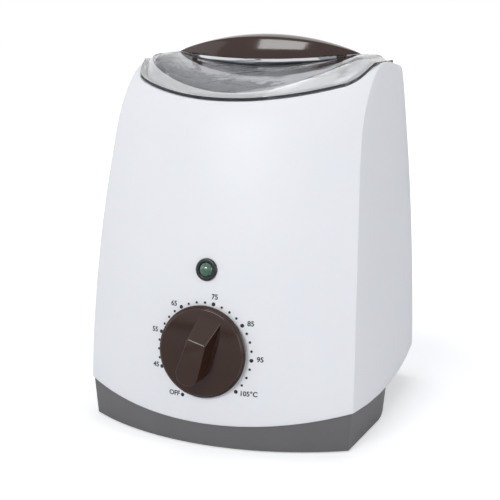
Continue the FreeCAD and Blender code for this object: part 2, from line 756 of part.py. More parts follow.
def insulation_sleeve():
    """Glass-fibre sleeve round the heater, open where the clamp is reached."""
    outer = size.well_radius + size.pot_wall + size.heater_gap + size.heater_thickness
    inner = outer + size.blanket_gap
    low, high = heater_span()
    thick = size.blanket_thickness
    sleeve = ring("sleeve blank", inner, inner + thick, low - size.blanket_margin / 2,
                  high + size.blanket_margin)
    half = size.heater_slot / 2 + size.heater_thickness + size.nut_height + size.sleeve_window_gap
    window = box("sleeve window", (-half, size.well_centre_y, low - size.blanket_margin),
                 (half, size.well_centre_y + inner + thick + size.overshoot,
                  high + size.blanket_margin + size.overshoot))
    return cut("insulation_sleeve", sleeve, window)


def pot_strap():
    """Flat steel strap that hangs from two bosses and draws the pot's flange onto the deck."""
    top = strap_top() - size.seat_gap
    half = size.strap_width / 2
    reach = size.strap_reach + size.boss_radius
    bar = box("strap bar", (-reach, size.well_centre_y - half, top - size.strap_thickness),
              (reach, size.well_centre_y + half, top))
    holes = [cylinder("strap screw hole", size.screw_radius + size.screw_clearance,
                      size.strap_thickness + size.overshoot * 2, x, y,
                      top - size.strap_thickness - size.overshoot)
             for x, y in strap_boss_places()]
    holes.append(cylinder("stud hole", size.stud_radius + size.screw_clearance,
                          size.strap_thickness + size.overshoot * 2, ZERO, size.well_centre_y,
                          top - size.strap_thickness - size.overshoot))
    return cut("pot_strap", bar, *holes)


def strap_screws():
    seat = strap_top() - size.seat_gap - size.strap_thickness
    return group("strap_screws", *[
        screw("strap screw", x, y, seat, size.screw_head_radius, size.screw_head_height,
              size.screw_radius, size.screw_length - size.screw_head_height)
        for x, y in strap_boss_places()])


def strap_nut():
    top = strap_top() - size.seat_gap - size.strap_thickness
    nut = doc.addObject("Part::Prism", "Nut")
    nut.Label = "nut blank"
    nut.Polygon = 6
    bind(nut, "Circumradius", size.nut_radius)
    bind(nut, "Height", size.nut_height)
    place(nut, ZERO, size.well_centre_y, top - size.nut_height)
    hole = cylinder("nut bore", size.stud_radius + size.spindle_fit,
                    size.nut_height + size.overshoot * 2, ZERO, size.well_centre_y,
                    top - size.nut_height - size.overshoot)
    return cut("strap_nut", nut, hole)


def bulb_axis_height():
    return pot_floor_under() - size.seat_gap - size.bulb_radius


def sensor_bulb():
    """Copper sensing bulb of the thermostat, held along the pot's floor."""
    bulb = cylinder("sensor_bulb", size.bulb_radius, size.bulb_length, -size.bulb_length / 2,
                    size.bulb_y, bulb_axis_height())
    lay_along_x(bulb)
    return bulb


def bulb_clip():
    """Spring clip that presses the bulb against the pot's floor."""
    inner = size.bulb_radius + size.clip_fit
    outer = inner + size.clip_thickness
    axis = bulb_axis_height()
    top = pot_floor_under() - size.seat_gap
    half = size.clip_width / 2
    hoop = cylinder("clip hoop", outer, size.clip_width, -half, size.bulb_y, axis)
    lay_along_x(hoop)
    cheeks = box("clip cheeks", (-half, size.bulb_y - outer, axis), (half, size.bulb_y + outer, top))
    feet = box("clip feet", (-half, size.bulb_y - outer - size.clip_foot, top - size.clip_thickness),
               (half, size.bulb_y + outer + size.clip_foot, top))
    past = half + size.overshoot
    bore = cylinder("clip bore", inner, past * 2, -past, size.bulb_y, axis)
    lay_along_x(bore)
    throat = box("clip throat", (-past, size.bulb_y - inner, axis),
                 (past, size.bulb_y + inner, top + size.overshoot))
    return cut("bulb_clip", fuse("clip blank", hoop, cheeks, feet), bore, throat)


def thermal_cutout():
    """Thermal cut-out, a flanged disc under the pot's floor with two tab terminals."""
    top = pot_floor_under() - size.seat_gap
    y = size.well_centre_y - size.cutout_y
    disc = cylinder("cut-out body", size.cutout_radius, size.cutout_height, ZERO, y,
                    top - size.cutout_height)
    half = size.cutout_flange_width / 2
    flange = box("cut-out flange",
                 (-size.cutout_flange_reach, y - half, top - size.cutout_flange_thickness),
                 (size.cutout_flange_reach, y + half, top))
    tabs = []
    for side in (-1, 1):
        x = size.cutout_tab_pitch / 2 * side - size.cutout_tab_thickness / 2
        tab_y = y - size.cutout_tab_width / 2
        root_z = top - size.cutout_height
        tabs.append(box("cut-out tab", (x, tab_y, root_z - size.cutout_tab_length),
                        (x + size.cutout_tab_thickness, tab_y + size.cutout_tab_width, root_z)))
    return fuse("thermal_cutout", disc, flange, *tabs)


# ---------------------------------------------------------------- thermostat and knob

def thermostat_face():
    """Front of the thermostat's plate, measured out of the front face."""
    return -size.panel_pad_depth - size.seat_gap


def front_slab(label, half_width, half_height, low, high):
    """A rectangular slab square to the front face, centred on the dial."""
    slab = padded(label, "XY_Plane",
                  [(-half_width, -half_height), (half_width, -half_height),
                   (half_width, half_height), (-half_width, half_height)], {}, high - low)
    return on_front(slab, size.dial_height, low)


def tapped_holes():
    """The two holes that the thermostat's screws go into, through plate and case."""
    return [front_cylinder("tapped hole", size.dial_height,
                           size.screw_radius + size.tapping_clearance,
                           thermostat_face() - size.thermostat_screw_grip - size.overshoot,
                           size.overshoot, size.thermostat_pitch / 2 * side) for side in (-1, 1)]


def spindle_bore():
    return front_cylinder("spindle bore", size.dial_height, size.spindle_radius + size.spindle_fit,
                          thermostat_face() - size.spindle_tail, size.overshoot)


def thermostat_plate():
    """Steel mounting plate of the thermostat with its threaded bushing."""
    face = thermostat_face()
    margin = size.thermostat_plate_margin
    plate = front_slab("plate blank", size.thermostat_width / 2 + margin,
                       size.thermostat_height / 2 + margin,
                       face - size.thermostat_plate_thickness, face)
    bushing = front_cylinder("bushing", size.dial_height, size.bushing_radius, face,
                             -size.dial_recess_depth - size.bushing_set)
    return cut("thermostat_plate", fuse("plate with bushing", plate, bushing), spindle_bore(),
               *tapped_holes())


def thermostat_body():
    """Moulded case of the capillary thermostat, behind its plate."""
    front = thermostat_face() - size.thermostat_plate_thickness
    case = front_slab("thermostat case", size.thermostat_width / 2, size.thermostat_height / 2,
                      front - size.thermostat_depth, front)
    return cut("thermostat_body", case, spindle_bore(), *tapped_holes())


def thermostat_screws():
    seat = size.seat_gap - size.dial_recess_depth
    screws = []
    for side in (-1, 1):
        x = size.thermostat_pitch / 2 * side
        head = front_cylinder("thermostat screw head", size.dial_height, size.screw_head_radius,
                              seat, seat + size.thermostat_head_height, x)
        shank = front_cylinder("thermostat screw shank", size.dial_height, size.screw_radius,
                               thermostat_face() - size.thermostat_screw_grip, seat, x)
        screws.append(fuse("thermostat screw", head, shank))
    return group("thermostat_screws", *screws)


def thermostat_spindle():
    """Steel spindle with a flat, turned by the knob."""
    tail = thermostat_face() - size.spindle_tail + size.spindle_end_gap
    top = size.knob_gap + size.spindle_depth - size.spindle_end_gap
    rod = front_cylinder("spindle rod", size.dial_height, size.spindle_radius, tail, top)
    reach = size.spindle_radius * 2
    flat = box("spindle flat", (ZERO, ZERO, ZERO), (reach * 2, reach,
                                                    size.spindle_flat_length + size.overshoot))
    on_front(flat, size.dial_height, top - size.spindle_flat_length, -reach,
             size.spindle_radius - size.spindle_flat)
    return cut("thermostat_spindle", rod, flat)


def grip_points(tail_width, tip_width, tail, tip):
    """Bar across the knob at the pointer's angle, from its round tail to its straight tip."""
    along = (sine(size.pointer_angle), cosine(size.pointer_angle))
    square = (cosine(size.pointer_angle), -sine(size.pointer_angle))
    corners = []
    for far, wide in ((tail_width / 2 - tail, -tail_width / 2), (-tail, ZERO),
                      (tail_width / 2 - tail, tail_width / 2), (tip, tip_width / 2),
                      (tip, -tip_width / 2)):
        corners.append((along[0] * far + square[0] * wide, along[1] * far + square[1] * wide))
    return corners


def knob_grip(roof):
    """Raised bar of the knob, wider at its tail; its pointer end slopes down to the face."""
    draft = size.grip_draft
    foot_width = size.grip_width + draft * 2
    grip = new_body("knob grip")
    sketches = []
    for height, tail_width, tip_width, tail, tip in (
            (ZERO, foot_width, foot_width, size.grip_tail + draft, size.grip_tip),
            (size.grip_height - roof, size.grip_width, size.grip_crest_width, size.grip_tail,
             size.grip_tip - size.grip_slope_run)):
        sketch = outline(grip, "XY_Plane", grip_points(tail_width, tip_width, tail, tip),
                         {0: tail_width / 2, 1: tail_width / 2})
        bind(sketch, "AttachmentOffset.Base.z", height)
        sketches.append(sketch)
    loft = grip.newObject("PartDesign::AdditiveLoft", "Loft")
    loft.Profile = sketches[0]
    loft.Sections = [sketches[1]]
    loft.Ruled = True
    return on_front(grip, size.dial_height, size.knob_gap + roof)


def control_knob():
    """Dial knob: thin flange, drafted skirt, hollow back and a raised bar grip."""
    rim = size.knob_radius
    face = size.knob_face_radius
    skirt_inner = face - size.knob_wall
    roof = size.knob_face_height - size.knob_wall
    disc = turned("knob disc", "XZ_Plane", "V_Axis",
                  [(ZERO, ZERO), (size.hub_radius, ZERO), (size.hub_radius, roof),
                   (skirt_inner, roof), (skirt_inner, ZERO), (rim, ZERO),
                   (rim, size.knob_rim - size.knob_rim_land), (face + size.knob_rim_land, size.knob_rim),
                   (face, size.knob_face_height), (ZERO, size.knob_face_height)])
    on_front(disc, size.dial_height, size.knob_gap)
    bore = front_cylinder("knob bore", size.dial_height, size.spindle_radius + size.spindle_fit,
                          -size.overshoot, size.knob_gap + size.spindle_depth)
    return cut("control_knob", fuse("knob blank", disc, knob_grip(roof)), bore)


# ---------------------------------------------------------------- pilot light

def indicator_bezel():
    """Black snap-in bezel of the pilot light."""
    wall = size.bezel_barrel
    bore = size.lens_radius + size.bezel_fit
    tail = -size.shell_wall - size.bezel_tail
    seat = size.bezel_seat_gap
    body = turned("indicator_bezel", "XZ_Plane", "V_Axis",
                  [(bore, tail), (wall, tail), (wall, seat), (size.bezel_radius, seat),
                   (size.bezel_radius, size.bezel_thickness - size.bezel_bevel),
                   (size.bezel_radius - size.bezel_bevel, size.bezel_thickness),
                   (bore, size.bezel_thickness)])
    return on_front(body, size.light_height)


def indicator_lens():
    """Domed green lens."""
    rise = size.lens_rise - size.bezel_thickness
    radius = size.lens_radius
    dome = (radius * radius + rise * rise) / (rise * 2)
    body = turned("indicator_lens", "XZ_Plane", "V_Axis",
                  [(ZERO, -size.shell_wall - size.lens_tail),
                   (radius, -size.shell_wall - size.lens_tail),
                   (radius, size.bezel_thickness), (ZERO, size.lens_rise)], {2: dome})
    return on_front(body, size.light_height)


def indicator_lamp():
    """Neon lamp holder behind the lens."""
    start = -size.shell_wall - size.bezel_tail - size.lamp_gap
    return front_cylinder("indicator_lamp", size.light_height, size.lamp_radius,
                          start - size.lamp_length, start)


# ---------------------------------------------------------------- wiring

def gland_wall_y():
    return size.rear_reach


def gland_hole():
    hole = cylinder("gland hole", size.gland_neck + size.gland_fit, size.deep_overshoot * 2, ZERO,
                    gland_wall_y() + size.deep_overshoot, size.gland_height)
    lay_along_y(hole)
    return hole


def lay_along_y(item):
    item.Placement.Rotation = FreeCAD.Rotation(FreeCAD.Vector(1, 0, 0), 90)


def cord_gland():
    """Rubber bush in the back wall, where a supply lead would enter."""
    seat = size.gland_seat
    outer_face = size.gland_lip + seat
    wall = size.shell_wall + size.gland_wall_gap
    body = turned("cord_gland", "XZ_Plane", "V_Axis",
                  [(size.gland_bore, -wall - size.gland_lip), (size.gland_flange, -wall - size.gland_lip),
                   (size.gland_flange, -wall), (size.gland_neck, -wall), (size.gland_neck, seat),
                   (size.gland_flange, seat), (size.gland_flange - size.gland_bevel, outer_face),
                   (size.gland_bore, outer_face)])
    body.Placement.Rotation = FreeCAD.Rotation(FreeCAD.Vector(1, 0, 0), -90)
    place(body, ZERO, gland_wall_y(), size.gland_height)
    return body


def terminal_low():
    """Underside of the terminal block's case."""
    return size.plinth_clearance + size.plinth_floor + size.seat_gap + size.terminal_post


def terminal_ways():
    """Plan positions of the three terminals, from left to right."""
    step = size.terminal_length / 3
    first = -size.terminal_x - size.terminal_length / 2 + step / 2
    return [(first + step * index, size.terminal_y + size.terminal_width / 2) for index in range(3)]


def terminal_block():
    """Three-way terminal block on one low foot."""
    low = terminal_low()
    x0, y0 = -size.terminal_x - size.terminal_length / 2, size.terminal_y
    x1, y1 = x0 + size.terminal_length, y0 + size.terminal_width
    inset = size.terminal_foot_inset
    top = low + size.terminal_height
    block = box("terminal case", (x0, y0, low), (x1, y1, top))
    foot = box("terminal foot", (x0 + inset, y0 + inset, low - size.terminal_post),
               (x1 - inset, y1 - inset, low))
    ways = []
    for x, y in terminal_ways():
        wire_way = cylinder("wire way", size.wire_way_radius,
                            size.terminal_width + size.overshoot * 2, x, y1 + size.overshoot,
                            low + size.wire_way_height)
        lay_along_y(wire_way)
        ways.append(wire_way)
        ways.append(cylinder("screw way", size.screw_way_radius,
                             size.screw_way_depth + size.overshoot, x, y, top - size.screw_way_depth))
    return cut("terminal_block", fuse("terminal blank", block, foot), *ways)


def terminal_screws():
    """The three clamping screws, each at the bottom of its way."""
    seat = terminal_low() + size.terminal_height - size.screw_way_depth
    return group("terminal_screws", *[
        cylinder("terminal screw", size.terminal_screw_radius, size.terminal_screw_height, x, y, seat)
        for x, y in terminal_ways()])


# ---------------------------------------------------------------- lid and handle

def lid_prism(label, inset):
    """Upright prism on the lid's plan: round front, squarer back, softened corners."""
    side = size.lid_side_x - inset
    front_radius = size.lid_front_radius - inset
    rear_radius = size.lid_rear_radius - inset
    front_centre = size.lid_front_radius - size.lid_front_y
    rear_centre = size.lid_rear_y - size.lid_rear_radius
    front_y = front_centre - root(front_radius * front_radius - side * side)
    rear_y = rear_centre + root(rear_radius * rear_radius - side * side)
    body = new_body(label)
    pad = body.newObject("PartDesign::Pad", "Pad")
    pad.Profile = outline(body, "XY_Plane",
                          [(-side, front_y), (side, front_y), (side, rear_y), (-side, rear_y)],
                          {0: front_radius, 2: rear_radius})
    bind(pad, "Length", size.form_ceiling)
    doc.recompute()
    for radius, ahead in ((size.lid_rear_corner, False), (size.lid_front_corner, True)):
        upright = ["Edge%d" % (index + 1) for index, edge in enumerate(pad.Shape.Edges)
                   if edge.BoundBox.ZLength > 100 and (edge.CenterOfMass.y < size.lid_arch_y.value) == ahead]
        doc.recompute()
        fillet = body.newObject("PartDesign::Fillet", "Corner")
        fillet.Base = (pad, upright)
        bind(fillet, "Radius", radius - inset / 2)
        doc.recompute()
        pad = fillet
    return body


def below_saddle(label, drop):
    """Everything under the lid's saddle: an arch front to back, turned about a high axis."""
    axis = size.lid_mid_level + size.lid_saddle_radius
    radius = size.lid_arch_radius - drop
    half = size.lid_arch_radius * 0.72
    fall = radius - root(radius * radius - half * half)
    top = -size.lid_saddle_radius - drop
    rim = top - fall
    bottom = -axis
    body = turned(label, "YZ_Plane", "H_Axis",
                  [(-half, rim), (-half, bottom), (half, bottom), (half, rim)],
                  {3: radius}, angle=40)
    place(body, ZERO, size.lid_arch_y, axis)
    return body


def below_arc(label, level, radius, half, hollow):
    """Everything under a long arc across the lid, hollow upwards or crowned."""
    sag = radius - root(radius * radius - half * half)
    edge = level + sag if hollow else level - sag
    bulge = radius if hollow else -radius
    return padded(label, "XZ_Plane", [(-half, edge), (half, edge), (half, ZERO), (-half, ZERO)],
                  {0: bulge}, size.form_margin * 2, True)


def leaf_points(margin):
    """Two shallow arcs that meet in points: the plan of handle and platform."""
    length = size.handle_half_length + margin
    depth = size.handle_half_depth + margin
    radius = (length * length + depth * depth) / (depth * 2)
    y = size.handle_y
    return [(-length, y), (length, y)], {0: radius, 1: radius}


def leaf_prism(label, margin):
    corners, arcs = leaf_points(margin)
    return padded(label, "XY_Plane", corners, arcs, size.form_ceiling)


def lid_body(label, shift, margin):
    """The lid's dome with its raised leaf, moved inwards by shift."""
    half = size.lid_side_x
    dome = common(label + " dome", lid_prism(label + " plan", size.lid_ledge + shift),
                  below_saddle(label + " saddle", shift),
                  below_arc(label + " crown", size.lid_crown_level - shift,
                            size.lid_crown_radius - shift, half, False))
    leaf = common(label + " leaf", leaf_prism(label + " leaf plan", margin - shift),
                  below_arc(label + " leaf top", size.platform_level - shift,
                            size.platform_radius + shift, half, True),
                  below_arc(label + " leaf crown", size.lid_crown_level - shift,
                            size.lid_crown_radius - shift, half, False))
    return fuse(label, dome, leaf)


def clear_lid():
    """Clear lid: flange that follows the trough, saddle dome and raised leaf for the handle."""
    ceiling = size.lid_crest
    flange = common("lid flange", lid_prism("flange plan", ZERO),
                    cut("flange layer", above_trough("flange low", size.lid_gap, ceiling),
                        above_trough("flange high", size.lid_gap + size.lid_flange,
                                     ceiling + size.overshoot)))
    walls = lid_body("dome outside", ZERO, size.platform_margin)
    dome = common("dome walls", walls, above_trough("dome seat", size.lid_gap, size.form_ceiling))
    lip = common("lid lip", walls, outer_form("lip reach", size.shell_wall + size.lip_clearance, True),
                 above_trough("lip foot", size.lid_gap - size.lid_lip, size.form_ceiling))
    inside = common("dome room", lid_body("dome inside", size.lid_wall, size.platform_margin),
                    above_trough("room limit", size.lid_gap - size.lid_lip - size.overshoot,
                                 size.form_ceiling))
    holes = [cylinder("peg hole", size.peg_radius + size.peg_clearance,
                      size.form_ceiling - size.deck_level, size.peg_x * side, size.handle_y,
                      size.deck_level) for side in (-1, 1)]
    return cut("clear_lid", fuse("lid blank", flange, dome, lip), inside, *holes)


def handle_crown(label, drop):
    """Arched and crowned top of the handle: a long arc turned about an axis along X."""
    radius = size.handle_arch_radius - drop
    half = size.handle_half_length + size.peg_radius
    sag = radius - root(radius * radius - half * half)
    top = size.handle_cross_radius - drop
    edge = top - sag
    body = turned(label, "XZ_Plane", "H_Axis",
                  [(-half, edge), (-half, ZERO), (half, ZERO), (half, edge)], {3: radius})
    place(body, ZERO, size.handle_y, size.handle_top - size.handle_cross_radius)
    return body


def above_platform(label, lift):
    """Everything over the platform's top, raised by lift."""
    half = size.lid_side_x
    radius = size.platform_radius - lift
    sag = radius - root(radius * radius - half * half)
    edge = size.platform_level + lift + sag
    return padded(label, "XZ_Plane",
                  [(-half, edge), (half, edge), (half, size.form_ceiling), (-half, size.form_ceiling)],
                  {0: radius}, size.form_margin * 2, True)


def lid_handle():
    """Hollow leaf-shaped handle with two pegs that pass through the lid."""
    seat = size.handle_seat_gap
    outside = common("handle outside", leaf_prism("handle plan", ZERO),
                     handle_crown("handle crown", ZERO), above_platform("handle seat", seat))
    inside = common("handle inside", leaf_prism("handle inner plan", -size.handle_wall),
                    handle_crown("handle inner crown", size.handle_wall))
    pegs = []
    pilots = []
    for side in (-1, 1):
        x = size.peg_x * side
        pegs.append(cylinder("peg", size.peg_radius, size.form_ceiling - size.peg_foot, x,
                             size.handle_y, size.peg_foot))
        pilots.append(cylinder("peg pilot", size.peg_screw_radius + size.tapping_clearance,
                               size.peg_screw_length + size.overshoot, x, size.handle_y,
                               size.peg_foot - size.overshoot / 2))
    trimmed = common("pegs", fuse("peg columns", *pegs),
                     handle_crown("peg limit", size.peg_top_gap))
    hollow = cut("handle wall", outside, inside)
    return cut("lid_handle", fuse("handle blank", hollow, trimmed), *pilots)


def handle_screws():
    return group("handle_screws", *[
        screw("handle screw", size.peg_x * side, size.handle_y, size.peg_foot - size.peg_screw_gap,
              size.peg_screw_head, size.peg_screw_head_height, size.peg_screw_radius,
              size.peg_screw_length)
        for side in (-1, 1)])


# ---------------------------------------------------------------- build, check and write

def main():
    pieces = [make() for make in (
        body_shell, base_tray, rubber_feet, base_screws, heating_pot, heater_band, clamp_screw,
        insulation_sleeve, pot_strap, strap_screws, strap_nut, sensor_bulb, bulb_clip,
        thermal_cutout, thermostat_plate, thermostat_body, thermostat_screws,
        thermostat_spindle, control_knob, indicator_bezel, indicator_lens, indicator_lamp,
        cord_gland, terminal_block, terminal_screws, clear_lid, lid_handle, handle_screws)]
    doc.recompute()
    failed = [item.Label for item in doc.Objects
              if "Invalid" in item.State or "Error" in item.State]
    if failed:
        raise RuntimeError("failed: %s" % ", ".join(failed))
    for piece in pieces:
        if piece.Shape.isNull() or not piece.Shape.isValid():
            raise RuntimeError("%s has no valid shape" % piece.Label)
    os.makedirs("parts", exist_ok=True)
    for piece in pieces:
        piece.Shape.exportStep("parts/%s.step" % piece.Label)
        bounds = piece.Shape.BoundBox
        print("%-20s %2d solid %9.1f mm3  x %.1f..%.1f  y %.1f..%.1f  z %.1f..%.1f" % (
            piece.Label, len(piece.Shape.Solids), piece.Shape.Volume, bounds.XMin, bounds.XMax,
            bounds.YMin, bounds.YMax, bounds.ZMin, bounds.ZMax))


main()
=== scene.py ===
"""Looks of the table-top wax heater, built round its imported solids.

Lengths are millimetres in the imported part's frame unless a docstring says otherwise: +Z is up,
the dial faces -Y, and the origin is on the table under the middle of the object.
"""

import logging
import math
from collections.abc import Callable, Iterable, Sequence
from dataclasses import dataclass
from enum import Enum
from functools import cached_property, partial

import bmesh
import bpy
from mathutils import Matrix, Vector


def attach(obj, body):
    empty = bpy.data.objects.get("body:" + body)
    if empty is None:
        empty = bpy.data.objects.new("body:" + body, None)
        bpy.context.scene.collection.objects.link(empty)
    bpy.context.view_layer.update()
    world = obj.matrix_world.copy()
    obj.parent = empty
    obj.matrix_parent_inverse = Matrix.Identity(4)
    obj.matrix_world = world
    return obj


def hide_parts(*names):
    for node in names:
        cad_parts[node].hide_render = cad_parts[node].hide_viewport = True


LOG = logging.getLogger("wax_heater")
MM = 0.001  # a millimetre in metres
WELD = 0.00001  # metres within which two vertices become one
TINY = 1e-9  # slack for rounding errors
DECK = 190.0  # top of the deck, where the well's flange lies
WELL_Y = 17.8  # the well's axis
LID_Y = 22.3  # middle of lid and handle
RING_POINTS = 240  # faces round lid and handle
WAVE_RADIANS = 20.0  # how far a wave texture turns for each unit of scale and length
FIRST, SECOND, MIXED = 6, 7, 2  # a Mix node's sockets for colours
Flat = tuple[float, float]
Point = tuple[float, float, float]
Locate = Callable[[float], Point]
Inputs = dict[str | int, object]
Mesh = bmesh.types.BMesh
Tree = bpy.types.Material | bpy.types.World
Socket = bpy.types.NodeSocket

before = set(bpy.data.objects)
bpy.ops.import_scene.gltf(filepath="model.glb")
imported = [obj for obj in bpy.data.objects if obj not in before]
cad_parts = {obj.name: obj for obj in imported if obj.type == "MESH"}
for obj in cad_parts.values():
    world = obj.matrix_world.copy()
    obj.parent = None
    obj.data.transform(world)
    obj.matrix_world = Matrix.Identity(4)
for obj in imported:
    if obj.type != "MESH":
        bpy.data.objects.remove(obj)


class Body(Enum):
    """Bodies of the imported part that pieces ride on."""

    HOUSING = "housing"
    DIAL = "dial"
    LID = "lid_assembly"


class Face(Enum):
    """The two bowed skins that run from side to side."""

    FRONT = -1
    REAR = 1


class Side(Enum):
    """The two side skins."""

    LEFT = -1
    RIGHT = 1


# ------------------------------------------------------------------ small helpers


def linear(colour: str) -> tuple[float, float, float, float]:
    """Turn an sRGB hex colour into linear light.

    Args:
        colour: The colour as "#rrggbb".

    Returns:
        Red, green, blue and an alpha of one.
    """
    levels = [int(colour[start:start + 2], 16) / 255 for start in (1, 3, 5)]
    red, green, blue = [level / 12.92 if level <= 0.04045 else ((level + 0.055) / 1.055) ** 2.4
                        for level in levels]
    return red, green, blue, 1.0


def spread(start: float, end: float, count: int) -> list[float]:
    """Evenly spaced values from start to end, both included."""
    return [start + (end - start) * step / (count - 1) for step in range(count)]


def mixed(start: Flat, end: Flat, share: float) -> Flat:
    """Plan point at a share of the way between two others."""
    return start[0] + (end[0] - start[0]) * share, start[1] + (end[1] - start[1]) * share


def scaled(point: Flat, across: float, along: float) -> Flat:
    """Plan point scaled about the lid's middle."""
    return point[0] * across, LID_Y + (point[1] - LID_Y) * along


def raised(plan: Iterable[Sequence[float]],
           level: Callable[[float, float], float]) -> list[Point]:
    """Lift plan points to a height that depends on their place."""
    return [(point[0], point[1], level(point[0], point[1])) for point in plan]


def hollow(low: float, radius: float, x: float, grown: float = 0.0) -> float:
    """Height of a hollow arc at a place, on a radius grown about the same axis."""
    return low + radius - math.sqrt((radius + grown) ** 2 - x * x)


def crowned(high: float, radius: float, x: float, grown: float = 0.0) -> float:
    """Height of a crowned arc at a place, on a radius grown about the same axis."""
    return high - radius + math.sqrt((radius + grown) ** 2 - x * x)


def sheet(bm: Mesh, rows: Sequence[Sequence[Point]], bands: Sequence[int] = ()) -> None:
    """Lay a grid of faces through rows of points.

    Args:
        bm: The mesh that receives the grid.
        rows: Points, the same number in each row.
        bands: Number of the material of the faces that follow each row.
    """
    across, along = len(rows) - 1, len(rows[0]) - 1
    made = bmesh.ops.create_grid(bm, x_segments=across, y_segments=along, size=1.0)
    for face in bm.faces if bands else ():
        face.material_index = bands[int((face.calc_center_median().x + 1) / 2 * across)]
    for vertex in made["verts"]:
        row = round((vertex.co.x + 1) / 2 * across)
        place = round((vertex.co.y + 1) / 2 * along)
        vertex.co = Vector(rows[row][place]) * MM


def close_up(bm: Mesh) -> None:
    """Weld doubled vertices and point all faces outwards."""
    bmesh.ops.remove_doubles(bm, verts=bm.verts, dist=WELD)
    bmesh.ops.recalc_face_normals(bm, faces=bm.faces)


@dataclass(frozen=True)
class Rounding:
    """Rounding of a mesh's outer edges.

    Attributes:
        width: Its width.
        turn: Smallest turn between two faces that counts as an edge, in degrees.
        steps: Faces across it.
    """

    width: float
    turn: float
    steps: int

    def cut(self, bm: Mesh, keep: Callable[[Vector], bool] = lambda middle: True) -> None:
        """Round the edges of a welded mesh.

        Args:
            bm: The mesh.
            keep: Test of an edge's middle, in metres, for the edges to round.
        """
        edges = [edge for edge in bm.edges if edge.is_manifold
                 and edge.calc_face_angle_signed(0.0) > math.radians(self.turn)
                 and keep((edge.verts[0].co + edge.verts[1].co) / 2)]
        bmesh.ops.bevel(bm, geom=edges, offset=self.width * MM, offset_type="OFFSET",
                        segments=self.steps, profile=0.5, affect="EDGES", clamp_overlap=True,
                        material=-1)


def turn(bm: Mesh, profile: Sequence[Flat], steps: int) -> None:
    """Turn a closed profile about local Z.

    Args:
        bm: The mesh that receives the turned shape.
        profile: Points of (radius, height); the last one joins the first.
        steps: Faces round the turn.
    """
    corners = [bm.verts.new((radius * MM, 0.0, height * MM)) for radius, height in profile]
    edges = [bm.edges.new((corner, corners[(index + 1) % len(corners)]))
             for index, corner in enumerate(corners)
             if profile[index][0] > 0 or profile[(index + 1) % len(corners)][0] > 0]
    bmesh.ops.spin(bm, geom=corners + edges, cent=(0, 0, 0), axis=(0, 0, 1), dvec=(0, 0, 0),
                   angle=math.tau, steps=steps, use_merge=True, use_duplicate=False)
    close_up(bm)


def arc(centre: Flat, radius: float, start: float, end: float, count: int) -> list[Flat]:
    """Points of an arc in a profile, angles in degrees from outwards towards up."""
    return [(centre[0] + radius * math.cos(math.radians(angle)),
             centre[1] + radius * math.sin(math.radians(angle)))
            for angle in spread(start, end, count)]


def new_object(name: str, data: bpy.types.ID) -> bpy.types.Object:
    """Put a mesh, lamp or camera into the scene as an object."""
    item = bpy.data.objects.new(name, data)
    bpy.context.scene.collection.objects.link(item)
    return item


def new_mesh(name: str, bm: Mesh) -> bpy.types.Object:
    """Put a finished bmesh into the scene as an object.

    Args:
        name: The object's name.
        bm: The mesh, in metres; it is freed.

    Returns:
        The new object.
    """
    mesh = bpy.data.meshes.new(name)
    bm.to_mesh(mesh)
    bm.free()
    return new_object(name, mesh)


# ------------------------------------------------------------------ finishes


def add_node(owner: Tree, kind: str, inputs: Inputs | None = None,
             **settings: object) -> bpy.types.Node:
    """Add one shader node with its settings and links.

    Args:
        owner: Owner of the node tree.
        kind: Type name of the node, without ShaderNode.
        inputs: For each input a value, a socket, or a node that stands for its first output.
        **settings: Properties of the node.

    Returns:
        The new node.
    """
    node = owner.node_tree.nodes.new("ShaderNode" + kind)
    for name, value in settings.items():
        setattr(node, name, value)
    for name, value in (inputs or {}).items():
        source = value.outputs[0] if isinstance(value, bpy.types.Node) else value
        if isinstance(source, Socket):
            owner.node_tree.links.new(source, node.inputs[name])
        else:
            node.inputs[name].default_value = source
    return node


def with_nodes(owner: Tree) -> Tree:
    """Give a new material or world an empty node tree."""
    owner.use_nodes = True
    owner.node_tree.nodes.clear()
    return owner


def per_metre(size: float) -> float:
    """Noise scale that draws features of a size on Object coordinates."""
    return 1.0 / (size * MM)


@dataclass(frozen=True)
class Surface:
    """What all finishes share: one shader, and a pattern that lies still on the piece.

    Attributes:
        name: The material's name.
        slot: The record's material slot; it is not used.
    """

    name: str
    slot: str

    def build(self) -> bpy.types.Material:
        """Make the material.

        Returns:
            The new material.
        """
        made = with_nodes(bpy.data.materials.new(self.name))
        place = add_node(made, "TexCoord").outputs["Object"]
        shader = add_node(made, "BsdfPrincipled", self.pattern(made, place))
        add_node(made, "OutputMaterial", {"Surface": shader})
        return made

    def pattern(self, made: Tree, place: Socket) -> Inputs:
        """Add the nodes that draw the finish.

        Args:
            made: The material.
            place: Object coordinates.

        Returns:
            The shader's inputs.
        """
        raise NotImplementedError


